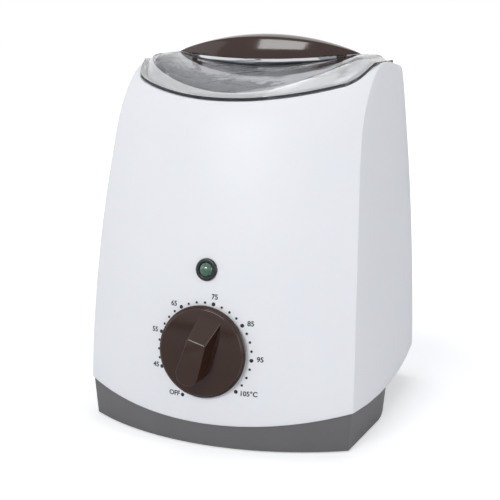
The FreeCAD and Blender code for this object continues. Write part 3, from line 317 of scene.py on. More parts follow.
@dataclass(frozen=True)
class Finish(Surface):
    """A finish with fine relief and cloudy colour, as its making leaves it.

    Attributes:
        colour: Main sRGB colour.
        second: sRGB colour that it drifts to in soft clouds.
        roughness: Middle of the roughness.
        drift: How far the roughness wanders to either side.
        cloud: Size of the clouds.
        grain: Size of the relief.
        relief: Height of the relief.
        ior: Index of refraction.
        metallic: One for metals.
        stretch: How far the grain is drawn out along X, Y and Z.
        sheen: Weight of a dusty or woolly sheen.
        depth: Weight of the light that wanders below the surface.
        wander: How far that light wanders.
    """

    colour: str
    second: str
    roughness: float
    drift: float
    cloud: float
    grain: float
    relief: float
    ior: float = 1.5
    metallic: float = 0.0
    stretch: Point = (1.0, 1.0, 1.0)
    sheen: float = 0.0
    depth: float = 0.0
    wander: float = 2.0

    def pattern(self, made: Tree, place: Socket) -> Inputs:
        """Draw clouds in colour and gloss, and the grain.

        Args:
            made: The material.
            place: Object coordinates.

        Returns:
            The shader's inputs.
        """
        clouds = add_node(made, "TexNoise",
                          {"Vector": place, "Scale": per_metre(self.cloud), "Detail": 3.0})
        tint = add_node(made, "Mix", {0: clouds, FIRST: linear(self.colour),
                                      SECOND: linear(self.second)}, data_type="RGBA")
        gloss = add_node(made, "MapRange", {"Value": clouds,
                                            "To Min": self.roughness - self.drift,
                                            "To Max": self.roughness + self.drift})
        drawn = add_node(made, "Mapping", {"Vector": place, "Scale": self.stretch})
        grain = add_node(made, "TexNoise",
                         {"Vector": drawn, "Scale": per_metre(self.grain), "Detail": 2.0})
        bump = add_node(made, "Bump", {"Height": grain, "Distance": self.relief * MM})
        return {"Base Color": tint.outputs[MIXED], "Roughness": gloss, "Normal": bump,
                "IOR": self.ior, "Metallic": self.metallic, "Sheen Weight": self.sheen,
                "Subsurface Weight": self.depth, "Subsurface Scale": self.wander * MM}


@dataclass(frozen=True)
class SpunMetal(Surface):
    """Drawn and lathe-polished aluminium: rings round the well's axis, coarse enough to show."""

    name: str = "drawn aluminium, lathe polished"
    slot: str = "pot_aluminium"
    colour: str = "#C9CACC"
    ring_pitch: float = 2.82743
    ring_height: float = 0.006
    stain: float = 30.0

    def pattern(self, made: Tree, place: Socket) -> Inputs:
        """Draw the rings and faint stains in the gloss.

        Args:
            made: The material.
            place: Object coordinates.

        Returns:
            The shader's inputs.
        """
        centred = add_node(made, "Mapping",
                           {"Vector": place, "Location": (0.0, -WELL_Y * MM, 0.0)})
        rings = add_node(made, "TexWave",
                         {"Vector": centred, "Distortion": 0.6, "Detail": 2.0,
                          "Detail Scale": 3.0,
                          "Scale": per_metre(self.ring_pitch) * math.tau / WAVE_RADIANS},
                         wave_type="RINGS", rings_direction="Z")
        stains = add_node(made, "TexNoise",
                          {"Vector": place, "Scale": per_metre(self.stain), "Detail": 4.0})
        gloss = add_node(made, "MapRange", {"Value": stains, "To Min": 0.22, "To Max": 0.42})
        bump = add_node(made, "Bump", {"Height": rings.outputs["Fac"],
                                       "Distance": self.ring_height * MM})
        return {"Base Color": linear(self.colour), "Metallic": 1.0, "Roughness": gloss,
                "Normal": bump}


@dataclass(frozen=True)
class ClearPlastic(Surface):
    """Clear injection-moulded polystyrene: bends light, with slight flow waves."""

    name: str = "clear polystyrene, polished mould"
    slot: str = "lid_clear"
    tint: str = "#D6D7DB"
    ior: float = 1.5
    wave: float = 19.0
    wave_height: float = 0.25
    haze: float = 9.0
    dullest: float = 0.06
    # share of white diffuse in place of transmission; set only where the lid's rim is painted
    # light
    painted_milkiness: float = 0.0

    def pattern(self, made: Tree, place: Socket) -> Inputs:
        """Draw the waves and a trace of haze.

        Args:
            made: The material.
            place: Object coordinates.

        Returns:
            The shader's inputs.
        """
        waves = add_node(made, "TexNoise",
                         {"Vector": place, "Scale": per_metre(self.wave), "Detail": 1.5,
                          "Distortion": 0.8})
        bump = add_node(made, "Bump", {"Height": waves, "Distance": self.wave_height * MM})
        haze = add_node(made, "TexNoise",
                        {"Vector": place, "Scale": per_metre(self.haze), "Detail": 3.0})
        gloss = add_node(made, "MapRange", {"Value": haze, "To Max": self.dullest})
        return {"Base Color": linear(self.tint), "Roughness": gloss, "IOR": self.ior,
                "Transmission Weight": 1.0 - self.painted_milkiness, "Normal": bump}


@dataclass(frozen=True)
class LampLens(Surface):
    """Green moulded lens: facets inside it break up what lies behind."""

    name: str = "green polycarbonate, faceted inside"
    slot: str = "lens_green"
    deep: str = "#0C2A21"
    bright: str = "#3C7A62"
    facet: float = 1.1

    def pattern(self, made: Tree, place: Socket) -> Inputs:
        """Draw the facets under a polished skin.

        Args:
            made: The material.
            place: Object coordinates.

        Returns:
            The shader's inputs.
        """
        facets = add_node(made, "TexVoronoi",
                          {"Vector": place, "Scale": per_metre(self.facet)}, feature="F1")
        tint = add_node(made, "Mix", {0: facets, FIRST: linear(self.bright),
                                      SECOND: linear(self.deep)}, data_type="RGBA")
        return {"Base Color": tint.outputs[MIXED], "Roughness": 0.08, "IOR": 1.58,
                "Coat Weight": 1.0, "Coat Roughness": 0.02}


@dataclass(frozen=True)
class WovenSleeve(Surface):
    """Glass-fibre sleeve: plain weave of pale threads."""

    name: str = "woven glass fibre"
    slot: str = "glass_fibre"
    colour: str = "#DAD3BE"
    shadow: str = "#A89F86"
    thread: float = 1.6
    thread_height: float = 0.2

    def pattern(self, made: Tree, place: Socket) -> Inputs:
        """Draw the threads, with their crossings raised.

        Args:
            made: The material.
            place: Object coordinates.

        Returns:
            The shader's inputs.
        """
        weave = add_node(made, "TexChecker",
                         {"Vector": place, "Scale": per_metre(self.thread)}).outputs["Fac"]
        tint = add_node(made, "Mix", {0: weave, FIRST: linear(self.colour),
                                      SECOND: linear(self.shadow)}, data_type="RGBA")
        bump = add_node(made, "Bump", {"Height": weave, "Strength": 0.6,
                                       "Distance": self.thread_height * MM})
        return {"Base Color": tint.outputs[MIXED], "Roughness": 0.8, "Normal": bump,
                "Sheen Weight": 0.3}


class Paint(Enum):
    """The object's finishes."""

    # Polished ABS throws soft reflections; the mould's polish leaves a faint orange peel.
    SHELL = Finish("white ABS, polished mould", "shell_white", "#EFF1F6", "#F4F5F8", 0.44, 0.04,
                   60.0, 2.2, 0.004, depth=0.04)
    # A spark-eroded mould makes the grey look dry, with a grain of about half a millimetre.
    PLINTH = Finish("grey ABS, spark-eroded mould", "plinth_grey", "#666465", "#6D6B6C", 0.46,
                    0.05, 18.0, 0.5, 0.03, 1.53)
    # Dark and polished: it mirrors the lamps almost sharply.
    BROWN = Finish("brown ABS, polished mould", "knob_brown", "#341D15", "#392218", 0.1, 0.02,
                   14.0, 1.2, 0.006, 1.46)
    # Pad-printed ink lies on the moulding as a thin satin film.
    INK = Finish("dark pad-printed ink", "knob_brown", "#151213", "#1D1919", 0.5, 0.05, 4.0, 0.2,
                 0.002)
    # Mixed rubber is dull and a little dusty.
    FOOT = Finish("black rubber, moulded", "foot_rubber", "#1B1B1C", "#262626", 0.75, 0.06, 6.0,
                  0.4, 0.03, sheen=0.15)
    GLAND = Finish("black rubber bush, moulded", "gland_rubber", "#161617", "#1F1F20", 0.6, 0.06,
                   5.0, 0.4, 0.02, sheen=0.1)
    # Zinc plating over turned steel is bright, with faint turning marks.
    SCREW = Finish("zinc-plated steel, turned", "screw_steel", "#B9BBC0", "#A6A8AD", 0.3, 0.08,
                   4.0, 0.3, 0.01, metallic=1.0, stretch=(1.0, 1.0, 6.0))
    # Rolled and drawn metal keeps its grain along the way it went.
    STEEL = Finish("cold-rolled steel strip", "heater_steel", "#9C9EA2", "#84868B", 0.38, 0.08,
                   20.0, 0.6, 0.01, metallic=1.0, stretch=(0.15, 1.0, 1.0))
    COPPER = Finish("bright-drawn copper", "copper", "#C77E5C", "#A9603F", 0.3, 0.08, 8.0, 0.5,
                    0.01, metallic=1.0, stretch=(0.15, 1.0, 1.0))
    # Moulded nylon is satin; the natural kind lets a little light in.
    BLACK = Finish("black nylon, moulded", "black_plastic", "#17181A", "#202123", 0.28, 0.05, 6.0,
                   0.5, 0.01)
    NYLON = Finish("natural nylon, moulded", "lamp_holder", "#D9D4C4", "#CFC9B6", 0.5, 0.06, 8.0,
                   0.6, 0.02, depth=0.1)
    # Lathe polish leaves rings that catch the light in two bright sectors.
    POT = SpunMetal()
    # Clear polystyrene has a slight grey cast and bends what lies behind it.
    CLEAR = ClearPlastic()
    # Clear polystyrene tinted dark: painted shade for the dark lines along the flange's outer edge
    # and round the foot of the raised leaf.
    CLEAR_PAINTED_SHADE = ClearPlastic("clear polystyrene, tinted dark as painted shade", tint="#25262C")
    # Half white diffuse instead of clear: painted light for the pale band along the flange's top
    # and the round up into the dome.
    CLEAR_PAINTED_LIGHT = ClearPlastic("clear polystyrene, whitened as painted light", tint="#FFFFFF",
                             painted_milkiness=0.5)
    # Facets behind a polished skin break the green up into paler and darker spots.
    LENS = LampLens()
    # Glass threads look pale and dry, with shade where they cross.
    SLEEVE = WovenSleeve()

    @cached_property
    def material(self) -> bpy.types.Material:
        """The finish's material, built when it is first needed."""
        return self.value.build()


def make_piece(bm: Mesh, name: str, body: Body, paint: Paint, node: str = "",
               sharp: float = 35.0) -> bpy.types.Object:
    """Turn a finished bmesh into a piece that rides on a body.

    Args:
        bm: The mesh, in metres; it is freed.
        name: Name of the piece.
        body: Body that carries it.
        paint: Its finish.
        node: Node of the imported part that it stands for, if any.
        sharp: Angle in degrees above which an edge is drawn sharp.

    Returns:
        The new object.
    """
    item = new_mesh(name, bm)
    item.data.shade_smooth()
    item.data.set_sharp_from_angle(angle=math.radians(sharp))
    item.data.materials.append(paint.material)
    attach(item, body.value)
    if node:
        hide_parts(node)
    LOG.info("piece %s: %d faces", name, len(item.data.polygons))
    return item


# ------------------------------------------------------------------ the housing's form


@dataclass(frozen=True)
class Skin:
    """Profile of a turned skin: arcs that run on smoothly from foot to top.

    Attributes:
        axis: Y of the skin's axis.
        reach: Radius at the foot.
        lean: Lean from upright at the foot, in degrees.
        arcs: Radius and lean at the end of each arc; a negative radius is hollow.
        runs_on: Whether a straight slope follows the last arc.
        foot: Height of the foot.
    """

    axis: float
    reach: float
    lean: float
    arcs: tuple[Flat, ...]
    runs_on: bool = False
    foot: float = 2.0

    def radius(self, height: float, inset: float = 0.0) -> float:
        """Radius at a height.

        Args:
            height: Height above the table.
            inset: Depth below the surface, square to it.

        Returns:
            The radius about the skin's own axis.
        """
        lean = math.radians(self.lean)
        across = self.reach - inset * math.cos(lean)
        up = self.foot - inset * math.sin(lean)
        for bow, end in self.arcs:
            bow -= inset
            end = math.radians(end)
            top = up + bow * (math.sin(end) - math.sin(lean))
            if height <= top:
                sine = min(1.0, math.sin(lean) + (height - up) / bow)
                return across - bow * (math.cos(lean) - math.sqrt(1 - sine * sine))
            across -= bow * (math.cos(lean) - math.cos(end))
            up, lean = top, end
        return across - (height - up) * math.tan(lean) if self.runs_on else across


@dataclass(frozen=True)
class Form:
    """The housing's outer form: bowed skins, bowl-shaped joint and troughed top."""

    height: float = 215.9
    shoulder_x: float = 75.7437
    front: Skin = Skin(90.7, 173.0, 1.14, ((646.1398, 16.7), (77.1, 45.5), (28.75, 90.0)))
    rear: Skin = Skin(-207.88, 302.0, -0.79, ((2637.0486, 2.41), (141.0, 26.0), (12.7, 82.9)),
                      True)
    side: Skin = Skin(10.3, 850.0, 0.232, ((1830.2192, 4.96), (-849.5, 0.7)))
    side_axis_x: float = 762.9
    trough_radius: float = 245.0549
    trough_corner: float = 15.0
    trough_low: float = 195.0
    trough_sweep: float = 15.0
    trough_slope: float = 60.0
    bowl_low: float = 4.1
    bowl_across: float = 259.0
    bowl_along: float = 481.7
    bowl_y: float = 15.3
    rounds: int = 9
    trough_rounds: int = 24

    def face_y(self, x: float, height: float, face: Face, inset: float = 0.0) -> float:
        """Y of the front or back skin, inset below its surface."""
        skin = self.front if face is Face.FRONT else self.rear
        return skin.axis + face.value * math.sqrt(skin.radius(height, inset) ** 2 - x * x)

    def side_x(self, y: float, height: float, inset: float = 0.0) -> float:
        """Half width at a point of the side skin, inset below its surface."""
        radius = self.side.radius(height, inset)
        return math.sqrt(radius * radius - (y - self.side.axis) ** 2) - self.side_axis_x

    def corner(self, height: float, face: Face, inset: float = 0.0) -> Flat:
        """Find the upright edge where a bowed skin meets the sides.

        Args:
            height: Height above the table.
            face: The bowed skin.
            inset: Depth below the surfaces.

        Returns:
            The edge's half width and Y.
        """
        x = self.shoulder_x
        for _ in range(self.rounds):
            y = self.face_y(x, height, face, inset)
            x = self.side_x(y, height, inset)
        return x, y

    def on_face(self, share: float, height: float, face: Face, inset: float = 0.0) -> Point:
        """Point on a bowed skin, at a share of its half width from the middle."""
        x = share * self.corner(height, face, inset)[0]
        return x, self.face_y(x, height, face, inset), height

    def on_side(self, share: float, height: float, side: Side, inset: float = 0.0) -> Point:
        """Find a point on a side skin.

        Args:
            share: Share of the way from its front edge to its back edge.
            height: Height above the table.
            side: Which of the two.
            inset: Depth below the surface.

        Returns:
            The point.
        """
        front, rear = (self.corner(height, face, inset)[1] for face in Face)
        y = front + (rear - front) * share
        return side.value * self.side_x(y, height, inset), y, height

    def trough(self, x: float, lift: float = 0.0) -> float:
        """Height of the trough in the top.

        Args:
            x: Distance from the centre line.
            lift: How far the surface is raised square to itself.

        Returns:
            The height above the table.
        """
        sweep, slope = math.radians(self.trough_sweep), math.radians(self.trough_slope)
        floor, corner = self.trough_radius - lift, self.trough_corner - lift
        low = self.trough_low + lift
        x = abs(x)
        bend = floor * math.sin(sweep)
        if x <= bend:
            return hollow(low, floor, x)
        across = bend - corner * math.sin(sweep)
        up = low + floor * (1 - math.cos(sweep)) + corner * math.cos(sweep)
        wall = across + corner * math.sin(slope)
        if x <= wall:
            return up - math.sqrt(corner * corner - (x - across) ** 2)
        return up - corner * math.cos(slope) + (x - wall) * math.tan(slope)

    def bowl(self, x: float, y: float) -> float:
        """Height of the joint between shell and plinth."""
        low = hollow(self.bowl_low, self.bowl_across, x)
        return hollow(low, self.bowl_along - low, y - self.bowl_y)

    def at_trough(self, locate: Locate) -> float:
        """Find where an upright line of a skin meets the trough.

        Args:
            locate: Point of the line at a height.

        Returns:
            The height.
        """
        height = self.height
        for _ in range(self.trough_rounds):
            height = min(self.height, self.trough(locate(height)[0]))
        return height

    def at_bowl(self, locate: Locate) -> float:
        """Find where an upright line of a skin meets the joint.

        Args:
            locate: Point of the line at a height.

        Returns:
            The height.
        """
        height = self.bowl_low
        for _ in range(self.rounds):
            height = self.bowl(*locate(height)[:2])
        return height

    def facing(self, height: float, step: float = 0.5) -> Matrix:
        """Find a place on the middle of the front.

        Args:
            height: Height on the front skin.
            step: How far above and below it the lean is taken.

        Returns:
            A matrix in metres whose local Z points out of the face and local Y up along it.
        """
        low, high = (self.face_y(0.0, height + side.value * step, Face.FRONT) for side in Side)
        across = Vector((1.0, 0.0, 0.0))
        up = Vector((0.0, high - low, 2 * step)).normalized()
        turned = Matrix((across, up, across.cross(up))).transposed().to_4x4()
        point = Vector((0.0, self.face_y(0.0, height, Face.FRONT), height)) * MM
        return Matrix.Translation(point) @ turned


FORM = Form()


@dataclass
class Shell:
    """White moulded shell with its rim, deck and the hole for the well."""

    wall: float = 3.0
    deck_under: float = 187.5  # height of the deck's underside
    hole_radius: float = 53.2
    edge: Rounding = Rounding(0.5, 32.0, 2)
    rows: int = 64
    rows_above: int = 7
    rows_below: int = 6
    side_columns: int = 7
    columns: tuple[float, ...] = (
        0.0, 6.0, 11.0, 16.0, 21.0, 26.0, 31.0, 36.0, 41.0, 46.0, 51.0, 56.0, 61.0, 64.5, 67.2,
        69.2, 70.8, 72.2, 73.4, 74.4, 75.2, FORM.shoulder_x)

    def column(self, locate: Locate, high: float) -> list[Point]:
        """Draw a column from the joint up, closer together where the skin rounds over.

        Args:
            locate: Point of the skin at a height.
            high: Height of the column's top.

        Returns:
            The column's points.
        """
        low = FORM.at_bowl(locate)
        rounding = max(0.0, (high - FORM.trough_low) / (FORM.height - FORM.trough_low))
        found = []
        for share in spread(0.0, 1.0, self.rows):
            late = 1 - (1 - share) ** 2
            found.append(locate(low + (high - low) * (share + (late - share) * rounding)))
        return found

    def on_hole(self, point: Point, height: float) -> Point:
        """Find the point of the well's hole that lies towards another point.

        Args:
            point: The other point.
            height: Height of the hole.

        Returns:
            The point.
        """
        across, along = point[0], point[1] - WELL_Y
        scale = self.hole_radius / math.hypot(across, along)
        return across * scale, WELL_Y + along * scale, height

    def lined_above(self, edge: Point, inner: Locate) -> list[Point]:
        """Draw a column of the inside above the deck.

        Args:
            edge: Point of the rim that it starts from.
            inner: Point of the inside at a height.

        Returns:
            Its points, down to the well's hole.
        """
        heights = spread(FORM.at_trough(inner), DECK, self.rows_above)
        column = [inner(height) for height in heights]
        return [edge, *column, self.on_hole(column[-1], DECK)]

    def lined_below(self, outer: Locate, inner: Locate) -> list[Point]:
        """Draw a column of the inside below the deck.

        Args:
            outer: Point of the outside at a height.
            inner: Point of the inside at a height.

        Returns:
            Its points, from the lower edge up to the well's hole.
        """
        heights = spread(FORM.at_bowl(inner), self.deck_under, self.rows_below)
        column = [inner(height) for height in heights]
        return [outer(FORM.at_bowl(outer)), *column, self.on_hole(column[-1], self.deck_under)]

    def add_face(self, bm: Mesh, face: Face) -> None:
        """Add the front or the back with its lining.

        Args:
            bm: The shell's mesh.
            face: Which of the two.
        """
        outer = partial(FORM.on_face, face=face)
        inner = partial(outer, inset=self.wall)
        places = [-x for x in self.columns[:0:-1]] + list(self.columns)
        shares = [x / FORM.shoulder_x for x in places]
        top_share = FORM.shoulder_x / FORM.corner(FORM.height, face)[0]
        columns, above, below = [], [], []
        for share in (-1.0, *[share * top_share for share in shares], 1.0):
            locate = partial(outer, share)
            past_shoulder = abs(share) > top_share + TINY
            high = FORM.height if past_shoulder else FORM.at_trough(locate)
            columns.append(self.column(locate, high))
            below.append(self.lined_below(locate, partial(inner, share)))
        for share, column in zip(shares, columns[1:-1]):
            above.append(self.lined_above(column[-1], partial(inner, share)))
        for rows in (columns, above, below):
            sheet(bm, rows)

    def add_side(self, bm: Mesh, side: Side) -> None:
        """Add one side with its narrow top and its lining.

        Args:
            bm: The shell's mesh.
            side: Which of the two.
        """
        columns, tops, above, below = [], [], [], []
        front, rear = (FORM.face_y(FORM.shoulder_x, FORM.height, face) for face in Face)
        for share in spread(0.0, 1.0, self.side_columns):
            outer = partial(FORM.on_side, share, side=side)
            inner = partial(outer, inset=self.wall)
            edge = (side.value * FORM.shoulder_x, front + (rear - front) * share, FORM.height)
            columns.append(self.column(outer, FORM.height))
            tops.append([columns[-1][-1], edge])
            above.append(self.lined_above(edge, inner))
            below.append(self.lined_below(outer, inner))
        for rows in (columns, tops, above, below):
            sheet(bm, rows)

    def build(self) -> None:
        """Make the shell and dress it."""
        bm = bmesh.new()
        for face in Face:
            self.add_face(bm, face)
        for side in Side:
            self.add_side(bm, side)
        bmesh.ops.remove_doubles(bm, verts=bm.verts, dist=WELD)
        bmesh.ops.bridge_loops(bm, edges=[edge for edge in bm.edges if edge.is_boundary])
        close_up(bm)
        self.edge.cut(bm)
        make_piece(bm, "shell", Body.HOUSING, Paint.SHELL, "body_shell")


# ------------------------------------------------------------------ nodes that keep their shape


@dataclass
class SolidPieces:
    """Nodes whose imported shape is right: a welded, smoothly shaded copy stands for each."""

    weld: float = 0.000002
    sharp: float = 28.0
    tray_sharp: float = 8.0  # the plinth's joint meets its walls at flat angles
    nodes: tuple[tuple[Body, Paint, tuple[str, ...]], ...] = (
        (Body.HOUSING, Paint.PLINTH, ("base_tray",)),
        (Body.HOUSING, Paint.FOOT, ("rubber_feet",)),
        (Body.HOUSING, Paint.GLAND, ("cord_gland",)),
        (Body.HOUSING, Paint.SLEEVE, ("insulation_sleeve",)),
        (Body.HOUSING, Paint.COPPER, ("sensor_bulb",)),
        (Body.HOUSING, Paint.BLACK, ("thermal_cutout", "thermostat_body")),
        (Body.HOUSING, Paint.NYLON, ("indicator_lamp", "terminal_block")),
        (Body.HOUSING, Paint.STEEL, ("heater_band", "pot_strap", "bulb_clip",
                                     "thermostat_plate")),
        (Body.HOUSING, Paint.SCREW, ("base_screws", "clamp_screw", "strap_screws", "strap_nut",
                                     "thermostat_screws", "terminal_screws")),
        (Body.DIAL, Paint.SCREW, ("thermostat_spindle",)),
        (Body.LID, Paint.SCREW, ("handle_screws",)))

    def build(self) -> None:
        """Dress every node that isn't rebuilt elsewhere."""
        for body, paint, nodes in self.nodes:
            sharp = self.tray_sharp if paint is Paint.PLINTH else self.sharp
            for node in nodes:
                bm = bmesh.new()
                bm.from_mesh(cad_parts[node].data)
                bmesh.ops.remove_doubles(bm, verts=bm.verts, dist=self.weld)
                item = make_piece(bm, node + "_skin", body, paint, node, sharp)
                item.modifiers.new("even shading", "WEIGHTED_NORMAL").keep_sharp = True


@dataclass
class Well:
    """Drawn aluminium well with its rolled flange."""

    radius: float = 51.5
    wall: float = 1.2
    flange: float = 4.5
    floor: float = 90.8
    corner: float = 6.0
    rim: float = 0.4
    mouth: float = 1.0
    stud_radius: float = 2.0
    stud_foot: float = 77.8
    stud_sunk: float = 0.2  # how far the stud reaches into the floor
    steps: int = 128
    stud_steps: int = 24

    def build(self) -> None:
        """Make the well and its stud."""
        outer, edge = self.radius + self.wall, self.radius + self.flange
        top, floor = DECK + self.wall, self.floor + self.wall
        bend = self.corner + self.wall
        stud_top = self.floor + self.stud_sunk
        bm = bmesh.new()
        turn(bm, [(0.0, self.floor),
                  *arc((outer - bend, self.floor + bend), bend, -90, 0, 7),
                  (outer, DECK), (edge, DECK),
                  *arc((edge - self.rim, top - self.rim), self.rim, 0, 90, 4),
                  *arc((self.radius + self.mouth, top - self.mouth), self.mouth, 90, 180, 6),
                  *arc((self.radius - self.corner, floor + self.corner), self.corner, 0, -90, 7),
                  (0.0, floor)], self.steps)
        turn(bm, [(0.0, self.stud_foot), (self.stud_radius, self.stud_foot),
                  (self.stud_radius, stud_top), (0.0, stud_top)], self.stud_steps)
        bmesh.ops.translate(bm, verts=bm.verts, vec=(0.0, WELL_Y * MM, 0.0))
        make_piece(bm, "well", Body.HOUSING, Paint.POT, "heating_pot")


# ------------------------------------------------------------------ dial, knob and light


@dataclass
class DialPrint:
    """Dots and numbers printed round the knob."""

    height: float = 55.5
    ring: float = 29.0
    first: float = -113.6
    step: float = 10.35
    dots: int = 25
    group: int = 4  # every fourth dot is a large one
    off: float = -155.0
    large: float = 1.12
    small: float = 0.74
    lift: float = 0.05  # how far the ink stands off the front
    letters: float = 4.0
    bold: float = 0.1  # how far strokes are widened to each side
    labels: tuple[tuple[str, float, float], ...] = (
        ("OFF", -17.6, -26.0), ("45", -30.6, -11.1), ("55", -32.0, 9.5), ("65", -19.7, 26.3),
        ("75", 5.9, 32.6), ("85", 27.7, 19.1), ("95", 33.9, -1.0), ("105°C", 27.9, -21.3))

    def lay(self, bm: Mesh) -> None:
        """Lay flat marks, drawn in dial coordinates, on the bowed front.

        Args:
            bm: The mesh of all marks.
        """
        upright = FORM.facing(self.height).to_3x3().col[1].z
        for vertex in bm.verts:
            x = vertex.co.x / MM
            height = self.height + vertex.co.y / MM * upright
            y = FORM.face_y(x, height, Face.FRONT) - self.lift
            vertex.co = Vector((x, y, height)) * MM

    def add_dot(self, bm: Mesh, angle: float, radius: float) -> None:
        """Add one dot.

        Args:
            bm: The mesh of all marks.
            angle: Its turn from straight up, in degrees.
            radius: Its radius.
        """
        turned = math.radians(angle)
        middle = Vector((math.sin(turned), math.cos(turned), 0.0)) * self.ring * MM
        bmesh.ops.create_circle(bm, cap_ends=True, segments=20, radius=radius * MM,
                                matrix=Matrix.Translation(middle))

    def add_label(self, bm: Mesh, text: str, across: float, up: float) -> None:
        """Add one figure as a flat mesh.

        Args:
            bm: The mesh of all marks.
            text: The figure's text.
            across: Its middle, to the right of the ring's.
            up: Its middle, above the ring's.
        """
        curve = bpy.data.curves.new("figure", "FONT")
        curve.body = text
        curve.align_x = curve.align_y = "CENTER"
        curve.size = self.letters * MM
        curve.offset = self.bold * MM
        curve.resolution_u = 6
        shape = bpy.data.objects.new("figure", curve)
        flat = bpy.data.meshes.new_from_object(shape)
        flat.transform(Matrix.Translation(Vector((across, up, 0.0)) * MM))
        bm.from_mesh(flat)
        bpy.data.objects.remove(shape)
        bpy.data.curves.remove(curve)
        bpy.data.meshes.remove(flat)

    def build(self) -> None:
        """Print all marks as one piece."""
        bm = bmesh.new()
        for index in range(self.dots):
            radius = self.small if index % self.group else self.large
            self.add_dot(bm, self.first + self.step * index, radius)
        self.add_dot(bm, self.off, self.large)
        for label in self.labels:
            self.add_label(bm, *label)
        self.lay(bm)
        bmesh.ops.recalc_face_normals(bm, faces=bm.faces)
        bmesh.ops.reverse_faces(bm, faces=[face for face in bm.faces if face.normal.y > 0])
        make_piece(bm, "dial_print", Body.HOUSING, Paint.INK)


@dataclass
class Knob:
    """Brown dial knob: thin flange, raised disc and a bar with a sloping pointer end."""

    height: float = 56.4
    gap: float = 0.7
    radius: float = 26.7
    rim: float = 1.0
    bevel: Flat = (0.35, 0.4)  # width and height
    face_radius: float = 25.3
    face: float = 2.9
    face_round: float = 0.9
    fillet: Flat = (0.4, 0.15)  # how far out and up the disc runs into the flange
    skirt: float = 1.8
    back: float = 1.1
    hub: float = 5.6
    bar_half: float = 6.8
    crest_half: float = 5.7
    bar_top: float = 14.3
    tail: float = 17.7
    tip: float = 22.8
    slope: float = 14.5  # how much shorter the crest is at the pointer
    draft: float = 0.15
    pointer: float = 15.5
    edge: Rounding = Rounding(0.7, 35.0, 4)
    steps: int = 144
    tail_points: int = 25

    def bar_ring(self, grown: float, tip_half: float, tip: float, height: float) -> list[Point]:
        """Draw the bar's outline at one height: round tail, straight tip, closed.

        Args:
            grown: How much wider than the crest the tail is.
            tip_half: Half width of the tip.
            tip: How far the tip reaches.
            height: Height above the knob's foot.

        Returns:
            The outline's points, turned to the pointer.
        """
        half, tail = self.bar_half + grown, self.tail + grown
        ring = [(half * math.cos(angle), half * math.sin(angle) + half - tail)
                for angle in spread(math.pi, math.tau, self.tail_points)]
        ring += [(tip_half, tip), (-tip_half, tip), ring[0]]
        turned = math.radians(self.pointer)
        return [(x * math.cos(turned) + y * math.sin(turned),
                 y * math.cos(turned) - x * math.sin(turned), height) for x, y in ring]

    def add_bar(self, bm: Mesh) -> None:
        """Add the raised bar.

        Args:
            bm: Its mesh.
        """
        foot = self.bar_ring(self.draft, self.bar_half + self.draft, self.tip, self.back)
        crest = self.bar_ring(0.0, self.crest_half, self.tip - self.slope, self.bar_top)
        sheet(bm, [foot, crest])
        bmesh.ops.remove_doubles(bm, verts=bm.verts, dist=WELD)
        bmesh.ops.holes_fill(bm, edges=[edge for edge in bm.edges if edge.is_boundary], sides=0)
        close_up(bm)
        self.edge.cut(bm, lambda middle: middle.z > self.face * MM)

    def add_disc(self, bm: Mesh) -> None:
        """Add the flange and the disc, hollow behind.

        Args:
            bm: Its mesh.
        """
        skirt, rounded = self.face_radius - self.skirt, self.face_round
        turn(bm, [(0.0, 0.0), (self.hub, 0.0), (self.hub, self.back), (skirt, self.back),
                  (skirt, 0.0), (self.radius, 0.0), (self.radius, self.rim - self.bevel[1]),
                  (self.radius - self.bevel[0], self.rim),
                  (self.face_radius + self.fillet[0], self.rim + self.fillet[1]),
                  *arc((self.face_radius - rounded, self.face - rounded), rounded, 0, 90, 6),
                  (0.0, self.face)], self.steps)

    def build(self) -> None:
        """Make disc and bar, and set them on the dial."""
        place = FORM.facing(self.height) @ Matrix.Translation((0.0, 0.0, self.gap * MM))
        for name, add, node in (("knob_disc", self.add_disc, "control_knob"),
                                ("knob_bar", self.add_bar, "")):
            bm = bmesh.new()
            add(bm)
            bmesh.ops.transform(bm, matrix=place, verts=bm.verts)
            make_piece(bm, name, Body.DIAL, Paint.BROWN, node)


@dataclass
class PilotLight:
    """Black snap-in bezel round a domed green lens."""

    height: float = 102.9
    radius: float = 6.5
    thickness: float = 1.6
    outer_round: float = 1.1
    inner_round: float = 0.4
    slack: float = 0.1
    barrel: float = 4.9
    tail: float = 6.0
    lens: float = 4.2
    rise: float = 3.2
    sunk: float = 0.6  # how far the lens's edge lies below the bezel's top
    lens_tail: float = 5.0
    steps: int = 72

    def bezel_profile(self) -> list[Flat]:
        """Draw the profile of the bezel and its barrel.

        Returns:
            Its points, out from the shaft and up from the front.
        """
        bore, outer, inner = self.lens + self.slack, self.outer_round, self.inner_round
        return [(bore, -self.tail), (self.barrel, -self.tail), (self.barrel, self.slack),
                (self.radius, self.slack),
                *arc((self.radius - outer, self.thickness - outer), outer, 0, 90, 7),
                *arc((bore + inner, self.thickness - inner), inner, 90, 180, 4)]

    def lens_profile(self) -> list[Flat]:
        """Draw the profile of the lens with its dome.

        Returns:
            Its points, from the tail up to the dome's top.
        """
        sag = self.rise - self.thickness + self.sunk
        dome = (self.lens ** 2 + sag ** 2) / (2 * sag)
        half = math.degrees(math.asin(self.lens / dome))
        return [(0.0, -self.lens_tail), (self.lens, -self.lens_tail),
                *arc((0.0, self.rise - dome), dome, 90 - half, 90, 12)]

    def build(self) -> None:
        """Make bezel and lens."""
        for name, profile, paint, node in (
                ("light_bezel", self.bezel_profile(), Paint.BLACK, "indicator_bezel"),
                ("light_lens", self.lens_profile(), Paint.LENS, "indicator_lens")):
            bm = bmesh.new()
            turn(bm, profile, self.steps)
            bmesh.ops.transform(bm, matrix=FORM.facing(self.height), verts=bm.verts)
            make_piece(bm, name, Body.HOUSING, paint, node)


# ------------------------------------------------------------------ lid and handle


@dataclass(frozen=True)
class Bow:
    """Front or back of the lid's plan: its radius, how far it reaches, and its corners."""

    radius: float
    reach: float
    corner: float


